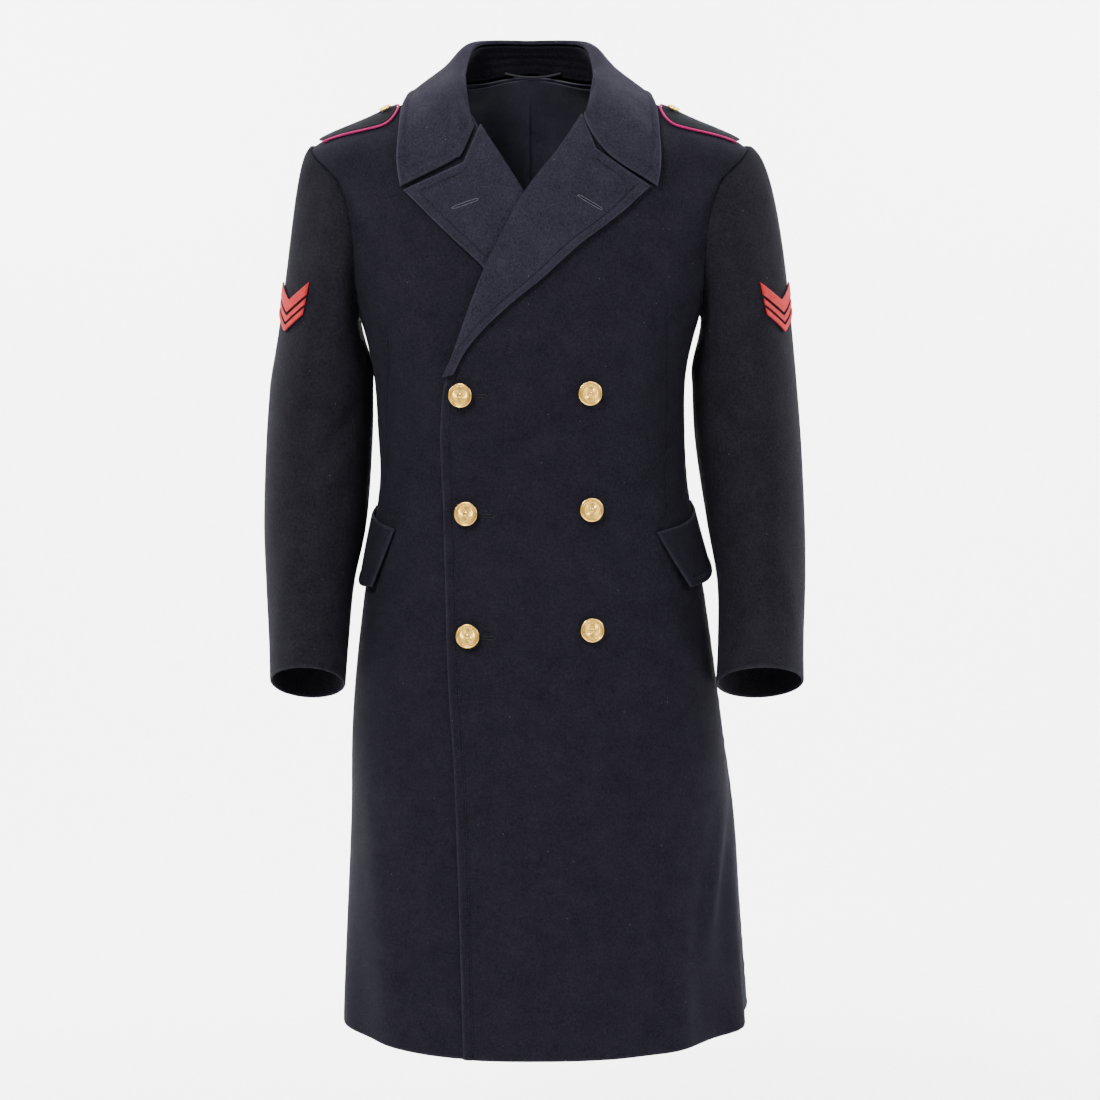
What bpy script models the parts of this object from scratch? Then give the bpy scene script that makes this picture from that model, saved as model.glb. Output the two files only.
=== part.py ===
"""Double-breasted greatcoat as worn, hollow, with no wearer. Metres, +Z up.

The origin is the middle of the neck opening, where the wearer's shoulders carry the coat.
The front faces -Y and the wearer's left is +X. The left front laps over the right one.
"""

import math

import bmesh
import bpy
import mathutils
import numpy as np

# Cloth and seams
CLOTH = 0.0022
DOUBLED = 0.0034
LINING = 0.0010
SEAM_GAP = 0.0003
SECTION_POWER = 2.4
SLOPE_STEP = 0.0002
CREASE_ANGLE = 50
COLLECTION = "greatcoat"

# Colours of the cloths and trims
WOOL = (0.014, 0.013, 0.018)
LAPEL_WOOL = (0.022, 0.020, 0.030)
FELT = (0.006, 0.008, 0.009)
CRIMSON = (0.36, 0.02, 0.13)
GILT = (0.78, 0.55, 0.20)
BRAID = (0.55, 0.03, 0.03)
CORD = (0.03, 0.03, 0.04)
SATIN = (0.02, 0.022, 0.04)
WOOL_ROUGHNESS = 0.9
TRIM_ROUGHNESS = 0.6

# Body sections, from hem to neck
# columns: height, right half width, left half width, front depth, back depth
SECTIONS = np.array([
    (-1.060, 0.2095, 0.2460, 0.1780, 0.1870),
    (-1.035, 0.2085, 0.2440, 0.1770, 0.1850),
    (-0.896, 0.2020, 0.2325, 0.1690, 0.1740),
    (-0.807, 0.1980, 0.2255, 0.1640, 0.1650),
    (-0.709, 0.1960, 0.2120, 0.1590, 0.1550),
    (-0.575, 0.1830, 0.1930, 0.1500, 0.1370),
    (-0.500, 0.1720, 0.1810, 0.1440, 0.1210),
    (-0.435, 0.1635, 0.1715, 0.1410, 0.1110),
    (-0.387, 0.1655, 0.1690, 0.1420, 0.1130),
    (-0.320, 0.1705, 0.1705, 0.1430, 0.1230),
    (-0.262, 0.1845, 0.1845, 0.1400, 0.1300),
    (-0.235, 0.1930, 0.1930, 0.1370, 0.1320),
    (-0.180, 0.2075, 0.2075, 0.1280, 0.1310),
    (-0.120, 0.2225, 0.2225, 0.1120, 0.1230),
    (-0.080, 0.2310, 0.2310, 0.0970, 0.1140),
    (-0.052, 0.1710, 0.1710, 0.0830, 0.1050),
    (-0.030, 0.1240, 0.1240, 0.0710, 0.0950),
    (-0.012, 0.0830, 0.0830, 0.0600, 0.0850),
    (0.000, 0.0620, 0.0620, 0.0530, 0.0780),
    (0.010, 0.0480, 0.0480, 0.0470, 0.0720),
])
HEIGHT, HALF_RIGHT, HALF_LEFT, DEPTH_FRONT, DEPTH_BACK = range(5)
NECK_TOP = 0.004


def smooth(keys, values, at):
    """Read a smooth curve through table rows: cubic pieces whose slopes are the rows' own gradient."""
    keys = np.asarray(keys, float)
    values = np.asarray(values, float)
    at = np.clip(np.asarray(at, float), keys[0], keys[-1])
    slopes = np.gradient(values, keys)
    row = np.clip(np.searchsorted(keys, at, side="right") - 1, 0, len(keys) - 2)
    span = keys[row + 1] - keys[row]
    s = (at - keys[row]) / span
    start = (1 + 2 * s) * (1 - s) ** 2 * values[row] + s * (1 - s) ** 2 * span * slopes[row]
    return start + s * s * (3 - 2 * s) * values[row + 1] + s * s * (s - 1) * span * slopes[row + 1]


def section(column, height):
    """Read one size of the body's section at a height."""
    return smooth(SECTIONS[:, HEIGHT], SECTIONS[:, column], height)


def half_width(x, height):
    """Half width on the side where x lies."""
    return np.where(x < 0, section(HALF_RIGHT, height), section(HALF_LEFT, height))


def depth(y, height):
    """Depth in front of the middle plane, or behind it."""
    return np.where(y < 0, section(DEPTH_FRONT, height), section(DEPTH_BACK, height))


def angle_at(x, z):
    """Angle round the body, in degrees, of a front point: 0 at the wearer's left, 90 at centre front."""
    share = np.clip(np.abs(x / half_width(x, z)), 0, 1) ** (SECTION_POWER / 2)
    return np.degrees(np.arccos(np.sign(x) * share))


# Large soft folds of the skirt
# columns: angle at top, angle at bottom, top height, bottom height, half width in degrees, height
FOLDS = np.array([
    (24.0, 38.0, -0.76, -1.04, 9.0, -0.0060),
    (16.0, 24.0, -0.80, -1.04, 7.0, 0.0070),
    (8.0, 10.0, -0.84, -1.04, 6.0, -0.0050),
    (52.0, 55.0, -0.92, -1.04, 7.0, 0.0040),
    (166.0, 160.0, -0.86, -1.04, 7.0, 0.0045),
    (150.0, 144.0, -0.92, -1.04, 7.0, -0.0035),
    (196.0, 200.0, -0.74, -1.04, 9.0, 0.0080),
    (222.0, 224.0, -0.66, -1.04, 10.0, -0.0070),
    (246.0, 250.0, -0.70, -1.04, 9.0, 0.0070),
    (292.0, 288.0, -0.64, -1.04, 9.0, 0.0080),
    (314.0, 316.0, -0.72, -1.04, 10.0, -0.0075),
    (336.0, 338.0, -0.70, -1.04, 9.0, 0.0080),
])


def ease(value, start, end):
    """Go smoothly from 0 at start to 1 at end."""
    s = np.clip((np.asarray(value, float) - start) / (end - start), 0, 1)
    return s * s * (3 - 2 * s)


def relief(angle, z):
    """Height of the folds: each is a bell across its width that fades in towards the hem."""
    total = np.zeros(np.broadcast(angle, z).shape)
    for top_angle, bottom_angle, top, bottom, width, height in FOLDS:
        along = ease(z, top, bottom)
        middle = top_angle + (bottom_angle - top_angle) * along
        away = (angle - middle + 180) % 360 - 180
        total += height * along * np.exp(-(away / width) ** 2)
    return total


def body(angle, z, lift=0.0):
    """Point and outward normal on the body: a section of power 2.4, with its folds, moved out by lift."""
    angle = np.asarray(angle, float)
    z = np.asarray(z, float)
    c = np.cos(np.radians(angle))
    s = np.sin(np.radians(angle))
    power = 2 / SECTION_POWER
    width = np.where(c < 0, section(HALF_RIGHT, z), section(HALF_LEFT, z))
    deep = np.where(s > 0, section(DEPTH_FRONT, z), section(DEPTH_BACK, z))
    point = np.stack([width * np.sign(c) * np.abs(c) ** power, -deep * np.sign(s) * np.abs(s) ** power,
                      z + 0 * c], -1)
    normal = body_normal(point)
    return point + normal * np.asarray(lift + relief(angle, z))[..., None], normal


def body_field(point):
    """Section equation at a point: 1 on the body, less inside it."""
    x, y, z = point[..., 0], point[..., 1], point[..., 2]
    return np.abs(x / half_width(x, z)) ** SECTION_POWER + np.abs(y / depth(y, z)) ** SECTION_POWER


def body_slope(point):
    """Gradient of the section equation, by central differences."""
    moves = np.eye(3) * SLOPE_STEP
    slopes = [(body_field(point + m) - body_field(point - m)) / (2 * SLOPE_STEP) for m in moves]
    return np.stack(slopes, -1)


def unit(vectors):
    """Vectors made one long."""
    return vectors / np.maximum(np.linalg.norm(vectors, axis=-1, keepdims=True), 1e-12)


def body_normal(point):
    """Outward direction of the body at a point."""
    return unit(body_slope(point))


def on_front(x, z, lift=0.0):
    """Point and normal on the front at x and z."""
    return body(angle_at(x, z), z, lift)


def clear_of_body(points, gap):
    """Moves that bring points below the neck's top a gap clear of the body."""
    slope = body_slope(points)
    steep = np.linalg.norm(slope, axis=-1)
    away = (body_field(points) - 1) / steep
    need = np.where(points[..., 2] < NECK_TOP, np.maximum(gap - away, 0), 0)
    return unit(slope) * need[..., None]


def make_material(name, colour, roughness, metallic=0.0):
    """A plain surface with a colour, a roughness and a metallic value."""
    material = bpy.data.materials.new(name)
    material.use_nodes = True
    shader = material.node_tree.nodes["Principled BSDF"]
    shader.inputs["Base Color"].default_value = (*colour, 1)
    shader.inputs["Roughness"].default_value = roughness
    shader.inputs["Metallic"].default_value = metallic
    return material


def add_object(name, data, material):
    """Put mesh or curve data in the coat's collection with its own material."""
    data.materials.append(material)
    piece = bpy.data.objects.new(name, data)
    bpy.data.collections[COLLECTION].objects.link(piece)
    return piece


def wall(name, outer, inner, material):
    """Close two grids of points, outer and inner, into one solid wall with a rim."""
    rows, cols = outer.shape[:2]
    count = rows * cols
    index = np.arange(count).reshape(rows, cols)
    quads = np.stack([index[:-1, :-1], index[:-1, 1:], index[1:, 1:], index[1:, :-1]], -1).reshape(-1, 4)
    edge = np.concatenate([index[0, :-1], index[:-1, -1], index[-1, :0:-1], index[:0:-1, 0]])
    ahead = np.roll(edge, -1)
    rim = np.stack([ahead, edge, edge + count, ahead + count], -1)
    faces = np.concatenate([quads, quads[:, ::-1] + count, rim])
    mesh = bpy.data.meshes.new(name)
    points = np.concatenate([outer.reshape(-1, 3), inner.reshape(-1, 3)])
    mesh.from_pydata(points.tolist(), [], faces.tolist())
    shell = bmesh.new()
    shell.from_mesh(mesh)
    bmesh.ops.recalc_face_normals(shell, faces=shell.faces)
    shell.to_mesh(mesh)
    shell.free()
    mesh.shade_smooth()
    mesh.set_sharp_from_angle(angle=math.radians(CREASE_ANGLE))
    return add_object(name, mesh, material)


def drawn_in(outer, normal, thickness, sides, gap=SEAM_GAP / 2):
    """Outer and inner grids whose named sides are drawn back by half a seam gap."""
    moved = outer.copy()
    if "start" in sides:
        moved[:, 0] += unit(outer[:, 1] - outer[:, 0]) * gap
    if "end" in sides:
        moved[:, -1] += unit(outer[:, -2] - outer[:, -1]) * gap
    if "bottom" in sides:
        moved[0] += unit(outer[1] - outer[0]) * gap
    if "top" in sides:
        moved[-1] += unit(outer[-2] - outer[-1]) * gap
    return moved, moved - normal * np.asarray(thickness)[..., None]


def grid_normal(grid):
    """Unit normals of a grid of points, from the cross product of its two directions."""
    return unit(np.cross(np.gradient(grid, axis=1), np.gradient(grid, axis=0)))


# Armhole: an upright oval, seen from the side
ARMHOLE_TOP = -0.080
ARMHOLE_BOTTOM = -0.262
ARMHOLE_REACH = 0.068
ARMHOLE_STEPS = 12
ARMHOLE_TURN = np.radians(np.arange(ARMHOLE_STEPS + 1) * 180 / ARMHOLE_STEPS)


def armhole(turn):
    """Height and distance from the middle plane at a turn: 0 at the armpit, pi at the shoulder."""
    middle = (ARMHOLE_TOP + ARMHOLE_BOTTOM) / 2
    return middle - (ARMHOLE_TOP - middle) * np.cos(turn), ARMHOLE_REACH * np.sin(turn)


# Rows of every body panel: heights of the side seam below the armpit, then the armhole's steps
SEAM_HEIGHTS = np.array([-1.030, -0.970, -0.910, -0.850, -0.790, -0.730, -0.670, -0.610, -0.555, -0.500,
                         -0.450, -0.400, -0.350, -0.305])
SEAM_ROWS = len(SEAM_HEIGHTS)
HEM_RISE = 0.012
HEM_FROM = -0.90
HEM_FULL = -1.035

# Neckline from the shoulder, columns: angle from the side, height
NECK_FRONT = np.array([(0.0, -0.0120), (24.3, -0.0142), (51.0, -0.0215), (63.0, -0.0350), (74.6, -0.0525)])
NECK_BACK = np.array([(0.0, -0.0120), (25.0, -0.0115), (48.0, -0.0085), (70.0, -0.0030), (90.0, 0.0)])

# Inner edges of the fronts, from hem to neckline
# columns: height, x
EDGE_LEFT = np.array([
    (-1.042, -0.0687), (-0.907, -0.0727), (-0.8045, -0.0757), (-0.7274, -0.0787), (-0.651, -0.0838),
    (-0.5486, -0.0868), (-0.462, -0.0890), (-0.371, -0.0892), (-0.325, -0.0835), (-0.301, -0.0733),
    (-0.278, -0.0649), (-0.245, -0.0534), (-0.2134, -0.0410), (-0.168, -0.0183), (-0.1415, -0.0039),
    (-0.1156, 0.0145), (-0.0885, 0.0345), (-0.0525, 0.0576)])
EDGE_RIGHT = np.array([
    (-1.042, 0.0700), (-0.8045, 0.0760), (-0.651, 0.0800), (-0.462, 0.0850), (-0.371, 0.0860),
    (-0.330, 0.0830), (-0.278, 0.0640), (-0.2134, 0.0330), (-0.1415, -0.0039), (-0.0999, -0.0300),
    (-0.0631, -0.0532), (-0.0500, -0.0600)])
BACK_NECK_ROWS = 4
FRONT_NECK_ROWS = 2


def side_rows(front):
    """Angle from the side and height of the outer edge of a panel: side seam, then armhole."""
    height, reach = armhole(ARMHOLE_TURN)
    deep = section(DEPTH_FRONT if front else DEPTH_BACK, height)
    angle = np.degrees(np.arcsin(np.clip(reach / deep, 0, 1) ** (SECTION_POWER / 2)))
    return (np.concatenate([np.zeros(SEAM_ROWS), angle]), np.concatenate([SEAM_HEIGHTS, height]))


def inner_rows(edge, neck, neck_rows, side):
    """Angle from the side and height of the inner edge of a panel: opening edge, then neckline."""
    seam_heights = SEAM_HEIGHTS.copy()
    rise = np.linspace(ARMHOLE_BOTTOM, neck[-1, 1], ARMHOLE_STEPS - neck_rows + 1)
    heights = np.concatenate([seam_heights, rise])
    if edge is None:
        angles = np.full(len(heights), 90.0)
    else:
        x = smooth(edge[:, 0], edge[:, 1], heights) * side
        share = np.clip(np.abs(x / half_width(x * side, heights)), 0, 1) ** (SECTION_POWER / 2)
        angles = np.degrees(np.arccos(np.sign(x) * share))
    turn = np.linspace(neck[-1, 0], 0, neck_rows + 1)[1:]
    return np.concatenate([angles, turn]), np.concatenate([heights, smooth(neck[:, 0], neck[:, 1], turn)])


def panel_grid(front, side, edge, neck, neck_rows, columns):
    """Angles and heights of a panel: straight from its inner edge to its side, in rows up the body."""
    start_angle, start_height = inner_rows(edge, neck, neck_rows, side)
    end_angle, end_height = side_rows(front)
    across = np.linspace(0, 1, columns)
    angle = start_angle[:, None] * (1 - across) + end_angle[:, None] * across
    height = start_height[:, None] * (1 - across) + end_height[:, None] * across
    hem = 1 - ease(height, HEM_FULL, HEM_FROM)
    height = height - HEM_RISE * hem * np.sin(np.radians(angle))
    if not front:
        angle = -angle
    return (angle if side > 0 else 180 - angle), height


# Lap of the left front: its lift below and beside the lapel, and where it fades out
LAP_LOW = 0.0034
LAP_HIGH = 0.0086
LAP_TURN = (-0.470, -0.340)
LAP_FULL = 0.015
LAP_END = 0.070


def left_lift(x, z):
    """How far the left front stands out where it laps over the right front and its lapel."""
    under_edge = smooth(EDGE_RIGHT[:, 0], EDGE_RIGHT[:, 1], z)
    over = 1 - ease(x - under_edge, LAP_FULL, LAP_END)
    return over * (LAP_LOW + (LAP_HIGH - LAP_LOW) * ease(z, *LAP_TURN))


def build_body():
    """Two fronts and two backs, each cut from the body's surface."""
    cuts = (
        ("front_left", True, 1, EDGE_LEFT, NECK_FRONT, FRONT_NECK_ROWS, 16),
        ("front_right", True, -1, EDGE_RIGHT, NECK_FRONT, FRONT_NECK_ROWS, 12),
        ("back_left", False, 1, None, NECK_BACK, BACK_NECK_ROWS, 9),
        ("back_right", False, -1, None, NECK_BACK, BACK_NECK_ROWS, 9),
    )
    for name, front, side, edge, neck, neck_rows, columns in cuts:
        angle, height = panel_grid(front, side, edge, neck, neck_rows, columns)
        plain, _ = body(angle, height)
        lift = left_lift(plain[..., 0], height) if name == "front_left" else 0.0
        outer, normal = body(angle, height, lift)
        sides = ("end", "top") if front else ("start", "end", "top")
        outer, inner = drawn_in(outer, normal, CLOTH, sides)
        wall(name, outer, inner, make_material(name + "_wool", WOOL, WOOL_ROUGHNESS))


# Sleeve rings below the arm's top, for the wearer's left and right
# columns: centre height, left centre x, left half width, right centre x, right half width,
#          centre y, half depth, forward tilt in degrees
SLEEVE_RINGS = np.array([
    (-0.330, 0.2340, 0.0570, 0.2270, 0.0560, 0.004, 0.0800, 0.0),
    (-0.400, 0.2390, 0.0580, 0.2305, 0.0580, 0.004, 0.0770, 5.0),
    (-0.486, 0.2475, 0.0535, 0.2350, 0.0560, -0.006, 0.0730, 14.0),
    (-0.550, 0.2525, 0.0480, 0.2395, 0.0480, -0.026, 0.0690, 20.0),
    (-0.613, 0.2505, 0.0465, 0.2395, 0.0430, -0.050, 0.0660, 23.0),
    (-0.656, 0.2485, 0.0475, 0.2395, 0.0405, -0.068, 0.0660, 24.0),
])
SLEEVE_GAP = 0.0005
SLEEVE_STEPS = 2 * ARMHOLE_STEPS
CAP_ROWS = 7
ARM_ROWS = 7
FRONT_SEAM = 3
BACK_SEAM = 16
SMALL_TURN = 0.004

# Directions in which the wearer's left and right sleeve heads leave the armhole and meet the arm
# columns: outwards, change of it with height, forwards, downwards, change of it with height
CAP_LEAVE = {1: (0.060, 0.040, -0.035, -0.012, 0.040), -1: (0.040, 0.020, -0.035, -0.012, 0.040)}
CAP_ARRIVE = {1: (0.020, 0.010, 0.0, -0.185, -0.115), -1: (0.038, 0.028, 0.0, -0.185, -0.115)}


def sleeve_ring(side, turn, place):
    """Points of the sleeve below the arm's top: an oval, tilted forward, at a place from 0 to 1."""
    rings = SLEEVE_RINGS
    key = np.linspace(0, 1, len(rings))
    height, x, wide = (smooth(key, rings[:, c], place) for c in ((0, 1, 2) if side > 0 else (0, 3, 4)))
    y, deep, tilt = (smooth(key, rings[:, c], place) for c in (5, 6, 7))
    tilt = np.radians(tilt)
    forward = deep * np.sin(turn)
    return np.stack([side * (x - wide * np.cos(turn)), y - forward * np.cos(tilt),
                     height + forward * np.sin(tilt)], -1)


def cap_direction(side, turn, row):
    """Direction of the sleeve head at a turn, from a row of its table."""
    up = -np.cos(turn)
    out, out_up, forward, down, down_up = row
    return np.stack([side * (out + out_up * up), forward * np.sin(turn), down + down_up * up], -1)


def sleeve_cap(side, turn, place):
    """Points of the sleeve head: a cubic from the armhole, which it leaves outwards, to the first ring."""
    height, reach = armhole(turn)
    y = -reach
    share = (1 - np.abs(y / depth(y, height)) ** SECTION_POWER) ** (1 / SECTION_POWER)
    x = half_width(side + 0 * y, height) * share
    start = np.stack([side * (x + SLEEVE_GAP), y, height], -1)
    end = sleeve_ring(side, turn, np.zeros_like(turn))
    leave, arrive = (cap_direction(side, turn, table[side]) for table in (CAP_LEAVE, CAP_ARRIVE))
    s = place[..., None]
    return ((1 + 2 * s) * (1 - s) ** 2 * start + s * (1 - s) ** 2 * leave
            + s * s * (3 - 2 * s) * end + s * s * (s - 1) * arrive)


def sleeve_grid(side, turn, rows):
    """Sleeve points at turns round it and rows down it, 0 to 1 on the head and 1 to 2 on the arm."""
    turn, rows = np.meshgrid(turn, rows)
    cap = sleeve_cap(side, turn, np.clip(rows, 0, 1))
    arm = sleeve_ring(side, turn, np.clip(rows - 1, 0, 1))
    return np.where((rows < 1)[..., None], cap, arm)


def sleeve_normal(side, turn, rows):
    """Outward direction of the sleeve by small steps round and down it."""
    below = np.minimum(rows + SMALL_TURN, 2)
    above = np.maximum(rows - SMALL_TURN, 0)
    down = sleeve_grid(side, turn, below) - sleeve_grid(side, turn, above)
    around = sleeve_grid(side, turn + SMALL_TURN, rows) - sleeve_grid(side, turn - SMALL_TURN, rows)
    return unit(np.cross(down, around)) * side


def build_sleeves():
    """Each sleeve in two pieces, a top one and an under one, from armhole to cuff."""
    rows = np.concatenate([np.linspace(0, 1, CAP_ROWS + 1), np.linspace(1, 2, ARM_ROWS + 1)[1:]])
    step = 2 * np.pi / SLEEVE_STEPS
    pieces = (("top", FRONT_SEAM, BACK_SEAM), ("under", BACK_SEAM, FRONT_SEAM + SLEEVE_STEPS))
    for side, word in ((1, "left"), (-1, "right")):
        for part, first, last in pieces:
            turn = np.arange(first, last + 1) * step
            outer = sleeve_grid(side, turn, rows)
            normal = sleeve_normal(side, turn, rows)
            outer, inner = drawn_in(outer, normal, CLOTH, ("start", "end"))
            name = f"sleeve_{word}_{part}"
            wall(name, outer, inner, make_material(name + "_wool", WOOL, WOOL_ROUGHNESS))


# Lapels from the opening's foot to the gorge; the roll line is the front's own edge
# columns: roll height, edge x, edge height
LAPEL_LEFT = np.array([
    (-0.3220, -0.0745, -0.3200), (-0.3010, -0.0640, -0.2980), (-0.2780, -0.0471, -0.2760),
    (-0.2450, -0.0182, -0.2482), (-0.2134, 0.0148, -0.2216), (-0.1680, 0.0519, -0.1878),
    (-0.1415, 0.0800, -0.1660), (-0.1156, 0.0990, -0.1510), (-0.0885, 0.1130, -0.1380),
    (-0.0540, 0.1260, -0.1265)])
LAPEL_RIGHT = np.array([
    (-0.2950, -0.0600, -0.2930), (-0.2740, -0.0350, -0.2700), (-0.2400, 0.0050, -0.2520),
    (-0.2134, 0.0300, -0.2300), (-0.1780, 0.0480, -0.2090), (-0.1415, 0.0780, -0.1810),
    (-0.1210, 0.0970, -0.1630), (-0.0999, 0.1140, -0.1460), (-0.0650, 0.1300, -0.1305)])
NOTCH_LEFT = (0.0700, -0.0880)
NOTCH_RIGHT = (0.0680, -0.1020)

# Section of a lapel beside its roll line: it hooks round the front's edge
# columns: outer distance, outer height, inner distance, inner height
LAPEL_HOOK = np.array([
    (-0.0044, -0.0022, -0.0012, -0.0022), (-0.0047, 0.0006, -0.0012, -0.0002),
    (-0.0034, 0.0036, -0.0010, 0.0010), (0.0000, 0.0050, 0.0002, 0.0016)])
LAPEL_COLUMNS = 7
LAPEL_ROWS = 13
LAPEL_SEAT = 0.0012
LAPEL_PUFF = 0.0008
LAPEL_SPRING = 0.0014


def coons(roll, edge, end):
    """Fill a patch between roll and edge, straight at its first row and along a bent end at its last."""
    rows = np.linspace(0, 1, len(roll))[:, None, None]
    share = np.linspace(0, 1, len(end))[None, :, None]
    straight = roll[:, None] * (1 - share) + edge[:, None] * share
    return straight + rows ** 2 * (end - straight[-1])[None]


def bent_end(roll, notch, edge, count):
    """Points along the line from roll to notch to edge, evenly spaced by length."""
    corners = np.array([roll, notch, edge])
    length = np.concatenate([[0], np.cumsum(np.linalg.norm(np.diff(corners, axis=0), axis=1))])
    at = np.linspace(0, length[-1], count)
    return np.stack([np.interp(at, length, corners[:, c]) for c in (0, 1)], -1)


def build_lapel(name, side, table, notch, edge_table, lift):
    """A lapel over its front: flat places from a patch, heights from its section."""
    key = np.linspace(0, 1, len(table))
    at = np.linspace(0, 1, LAPEL_ROWS)
    cols = [smooth(key, table[:, c], at) for c in range(3)]
    roll = np.stack([side * smooth(edge_table[:, 0], edge_table[:, 1], cols[0]), cols[0]], -1)
    edge = np.stack(cols[1:], -1)
    flat = coons(roll, edge, bent_end(roll[-1], notch, edge[-1], LAPEL_COLUMNS + 1))
    outward = unit(flat[:, 1] - flat[:, 0])
    sheets = []
    for sheet in (0, 1):
        places, heights = [], []
        for row in LAPEL_HOOK:
            places.append(roll + outward * row[2 * sheet])
            heights.append(np.full(LAPEL_ROWS, row[2 * sheet + 1]))
        for col in range(1, LAPEL_COLUMNS + 1):
            share = col / LAPEL_COLUMNS
            rest = LAPEL_SEAT + LAPEL_PUFF * (1 - share) ** 2 + LAPEL_SPRING * share ** 3
            places.append(flat[:, col])
            heights.append(np.full(LAPEL_ROWS, rest + (DOUBLED if sheet == 0 else 0)))
        place = np.stack(places, 1)
        x = side * place[..., 0]
        z = place[..., 1]
        sheets.append(on_front(x, z, lift(x, z) + np.stack(heights, 1))[0])
    wall(name, sheets[0], sheets[1], make_material(name + "_wool", LAPEL_WOOL, WOOL_ROUGHNESS))


def build_lapels():
    """Left lapel on the lapping front, right lapel on the front below it."""
    build_lapel("lapel_left", 1, LAPEL_LEFT, NOTCH_LEFT, EDGE_LEFT, left_lift)
    build_lapel("lapel_right", -1, LAPEL_RIGHT, NOTCH_RIGHT, EDGE_RIGHT, lambda x, z: 0 * x)


# Collar sections from centre back to the front end, for the wearer's left
# columns: roll x, y, z, middle of the leaf x, y, z, leaf edge x, y, z
COLLAR = np.array([
    (0.0000, 0.0650, 0.0370, 0.0000, 0.0900, 0.0120, 0.0000, 0.1085, -0.0450),
    (0.0360, 0.0600, 0.0370, 0.0520, 0.0850, 0.0110, 0.0660, 0.1030, -0.0460),
    (0.0560, 0.0460, 0.0335, 0.0800, 0.0570, 0.0120, 0.1050, 0.0800, -0.0400),
    (0.0640, 0.0220, 0.0220, 0.0930, 0.0250, 0.0060, 0.1290, 0.0300, -0.0255),
    (0.0675, -0.0120, 0.0020, 0.0980, -0.0150, -0.0075, 0.1335, -0.0300, -0.0315),
    (0.0660, -0.0480, -0.0150, 0.0950, -0.0680, -0.0320, 0.1375, -0.0820, -0.0680),
    (0.0630, -0.0750, -0.0330, 0.0880, -0.0930, -0.0600, 0.1382, -0.1010, -0.0990),
    (0.0582, -0.0915, -0.0505, 0.0820, -0.1060, -0.0905, 0.1345, -0.1065, -0.1255)])
COLLAR_NOTCH = (0.0710, -0.1025, -0.0835)

# Angle of the neckline below the collar, columns: place from centre back, angle from the side
COLLAR_SEAM = np.array([(0.0, -90.0), (0.43, -15.0), (0.60, 12.0), (0.74, 42.0), (1.0, 74.6)])

# The right front end hangs lower than the left one, the leaf's middle by less than its roll
RIGHT_DROP = 0.0110
NOTCH_DROP = 0.0130
DROP_FROM = 0.62
DROP_MIDDLE = 0.75

# Crown of the leaf beside its roll: share of the way across, then outwards and up
CROWN_AT = 0.12
CROWN_SHARE = 0.08
CROWN_OUT = 0.0060
CROWN_UP = 0.0012
END_FROM = 0.93
END_SHARE = 0.35
COLLAR_STEPS = 27
LEAF_COLUMNS = 9
LEAF_HOOK = 0.0036
LEAF_BACK = 0.0015
LEAF_CLEAR = 0.0022
STAND_REACH = 0.735
STAND_COLUMNS = 4
STAND_CLEAR = 0.0026
STAND_SEAT = 0.0021


def collar_lines(at):
    """Neck, roll, middle and edge of the collar at places from -1, right front end, to 1, left."""
    side = np.where(at < 0, -1.0, 1.0)
    key = np.linspace(0, 1, len(COLLAR))
    place = np.abs(at)
    lines = []
    for first in (0, 3, 6):
        line = np.stack([smooth(key, COLLAR[:, first + c], place) for c in range(3)], -1)
        line[:, 0] *= side
        lines.append(line)
    drop = np.where(at < 0, RIGHT_DROP * ease(place, DROP_FROM, 1.0), 0.0)
    lines[0][:, 2] -= drop
    lines[1][:, 2] -= drop * DROP_MIDDLE
    turn = np.concatenate([-NECK_BACK[::-1, 0], NECK_FRONT[1:, 0]])
    rise = np.concatenate([NECK_BACK[::-1, 1], NECK_FRONT[1:, 1]])
    angle = smooth(COLLAR_SEAM[:, 0], COLLAR_SEAM[:, 1], place)
    neck, _ = body(np.where(side > 0, angle, 180 - angle), smooth(turn, rise, angle))
    return neck, lines


def collar_leaf(steps, columns):
    """Grid of the leaf's outer side: up over the roll, then down to its edge."""
    at = np.linspace(-1, 1, steps)
    _, (roll, middle, edge) = collar_lines(at)
    share = np.linspace(0, 1, columns)
    key = np.array([0.0, CROWN_AT, 0.5, 1.0])
    level = (middle - roll) * (1, 1, 0)
    out = unit(level)
    crown = roll + out * CROWN_OUT + level * CROWN_SHARE + np.array([0, 0, CROWN_UP])
    end = ease(np.abs(at), END_FROM, 1.0)[:, None]
    notch = np.stack([np.where(at < 0, -1, 1) * COLLAR_NOTCH[0], np.full(steps, COLLAR_NOTCH[1]),
                      COLLAR_NOTCH[2] - np.where(at < 0, NOTCH_DROP, 0)], -1)
    crown = crown * (1 - end) + (roll * (1 - END_SHARE) + notch * END_SHARE) * end
    points = np.stack([roll, crown, middle, edge], 1)
    leaf = np.stack([np.stack([smooth(key, row[:, c], share) for c in range(3)], -1) for row in points])
    start = roll - np.array([0, 0, LEAF_HOOK]) * (1 - end) - out * LEAF_BACK * end
    return np.concatenate([start[:, None], leaf], 1)


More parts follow.
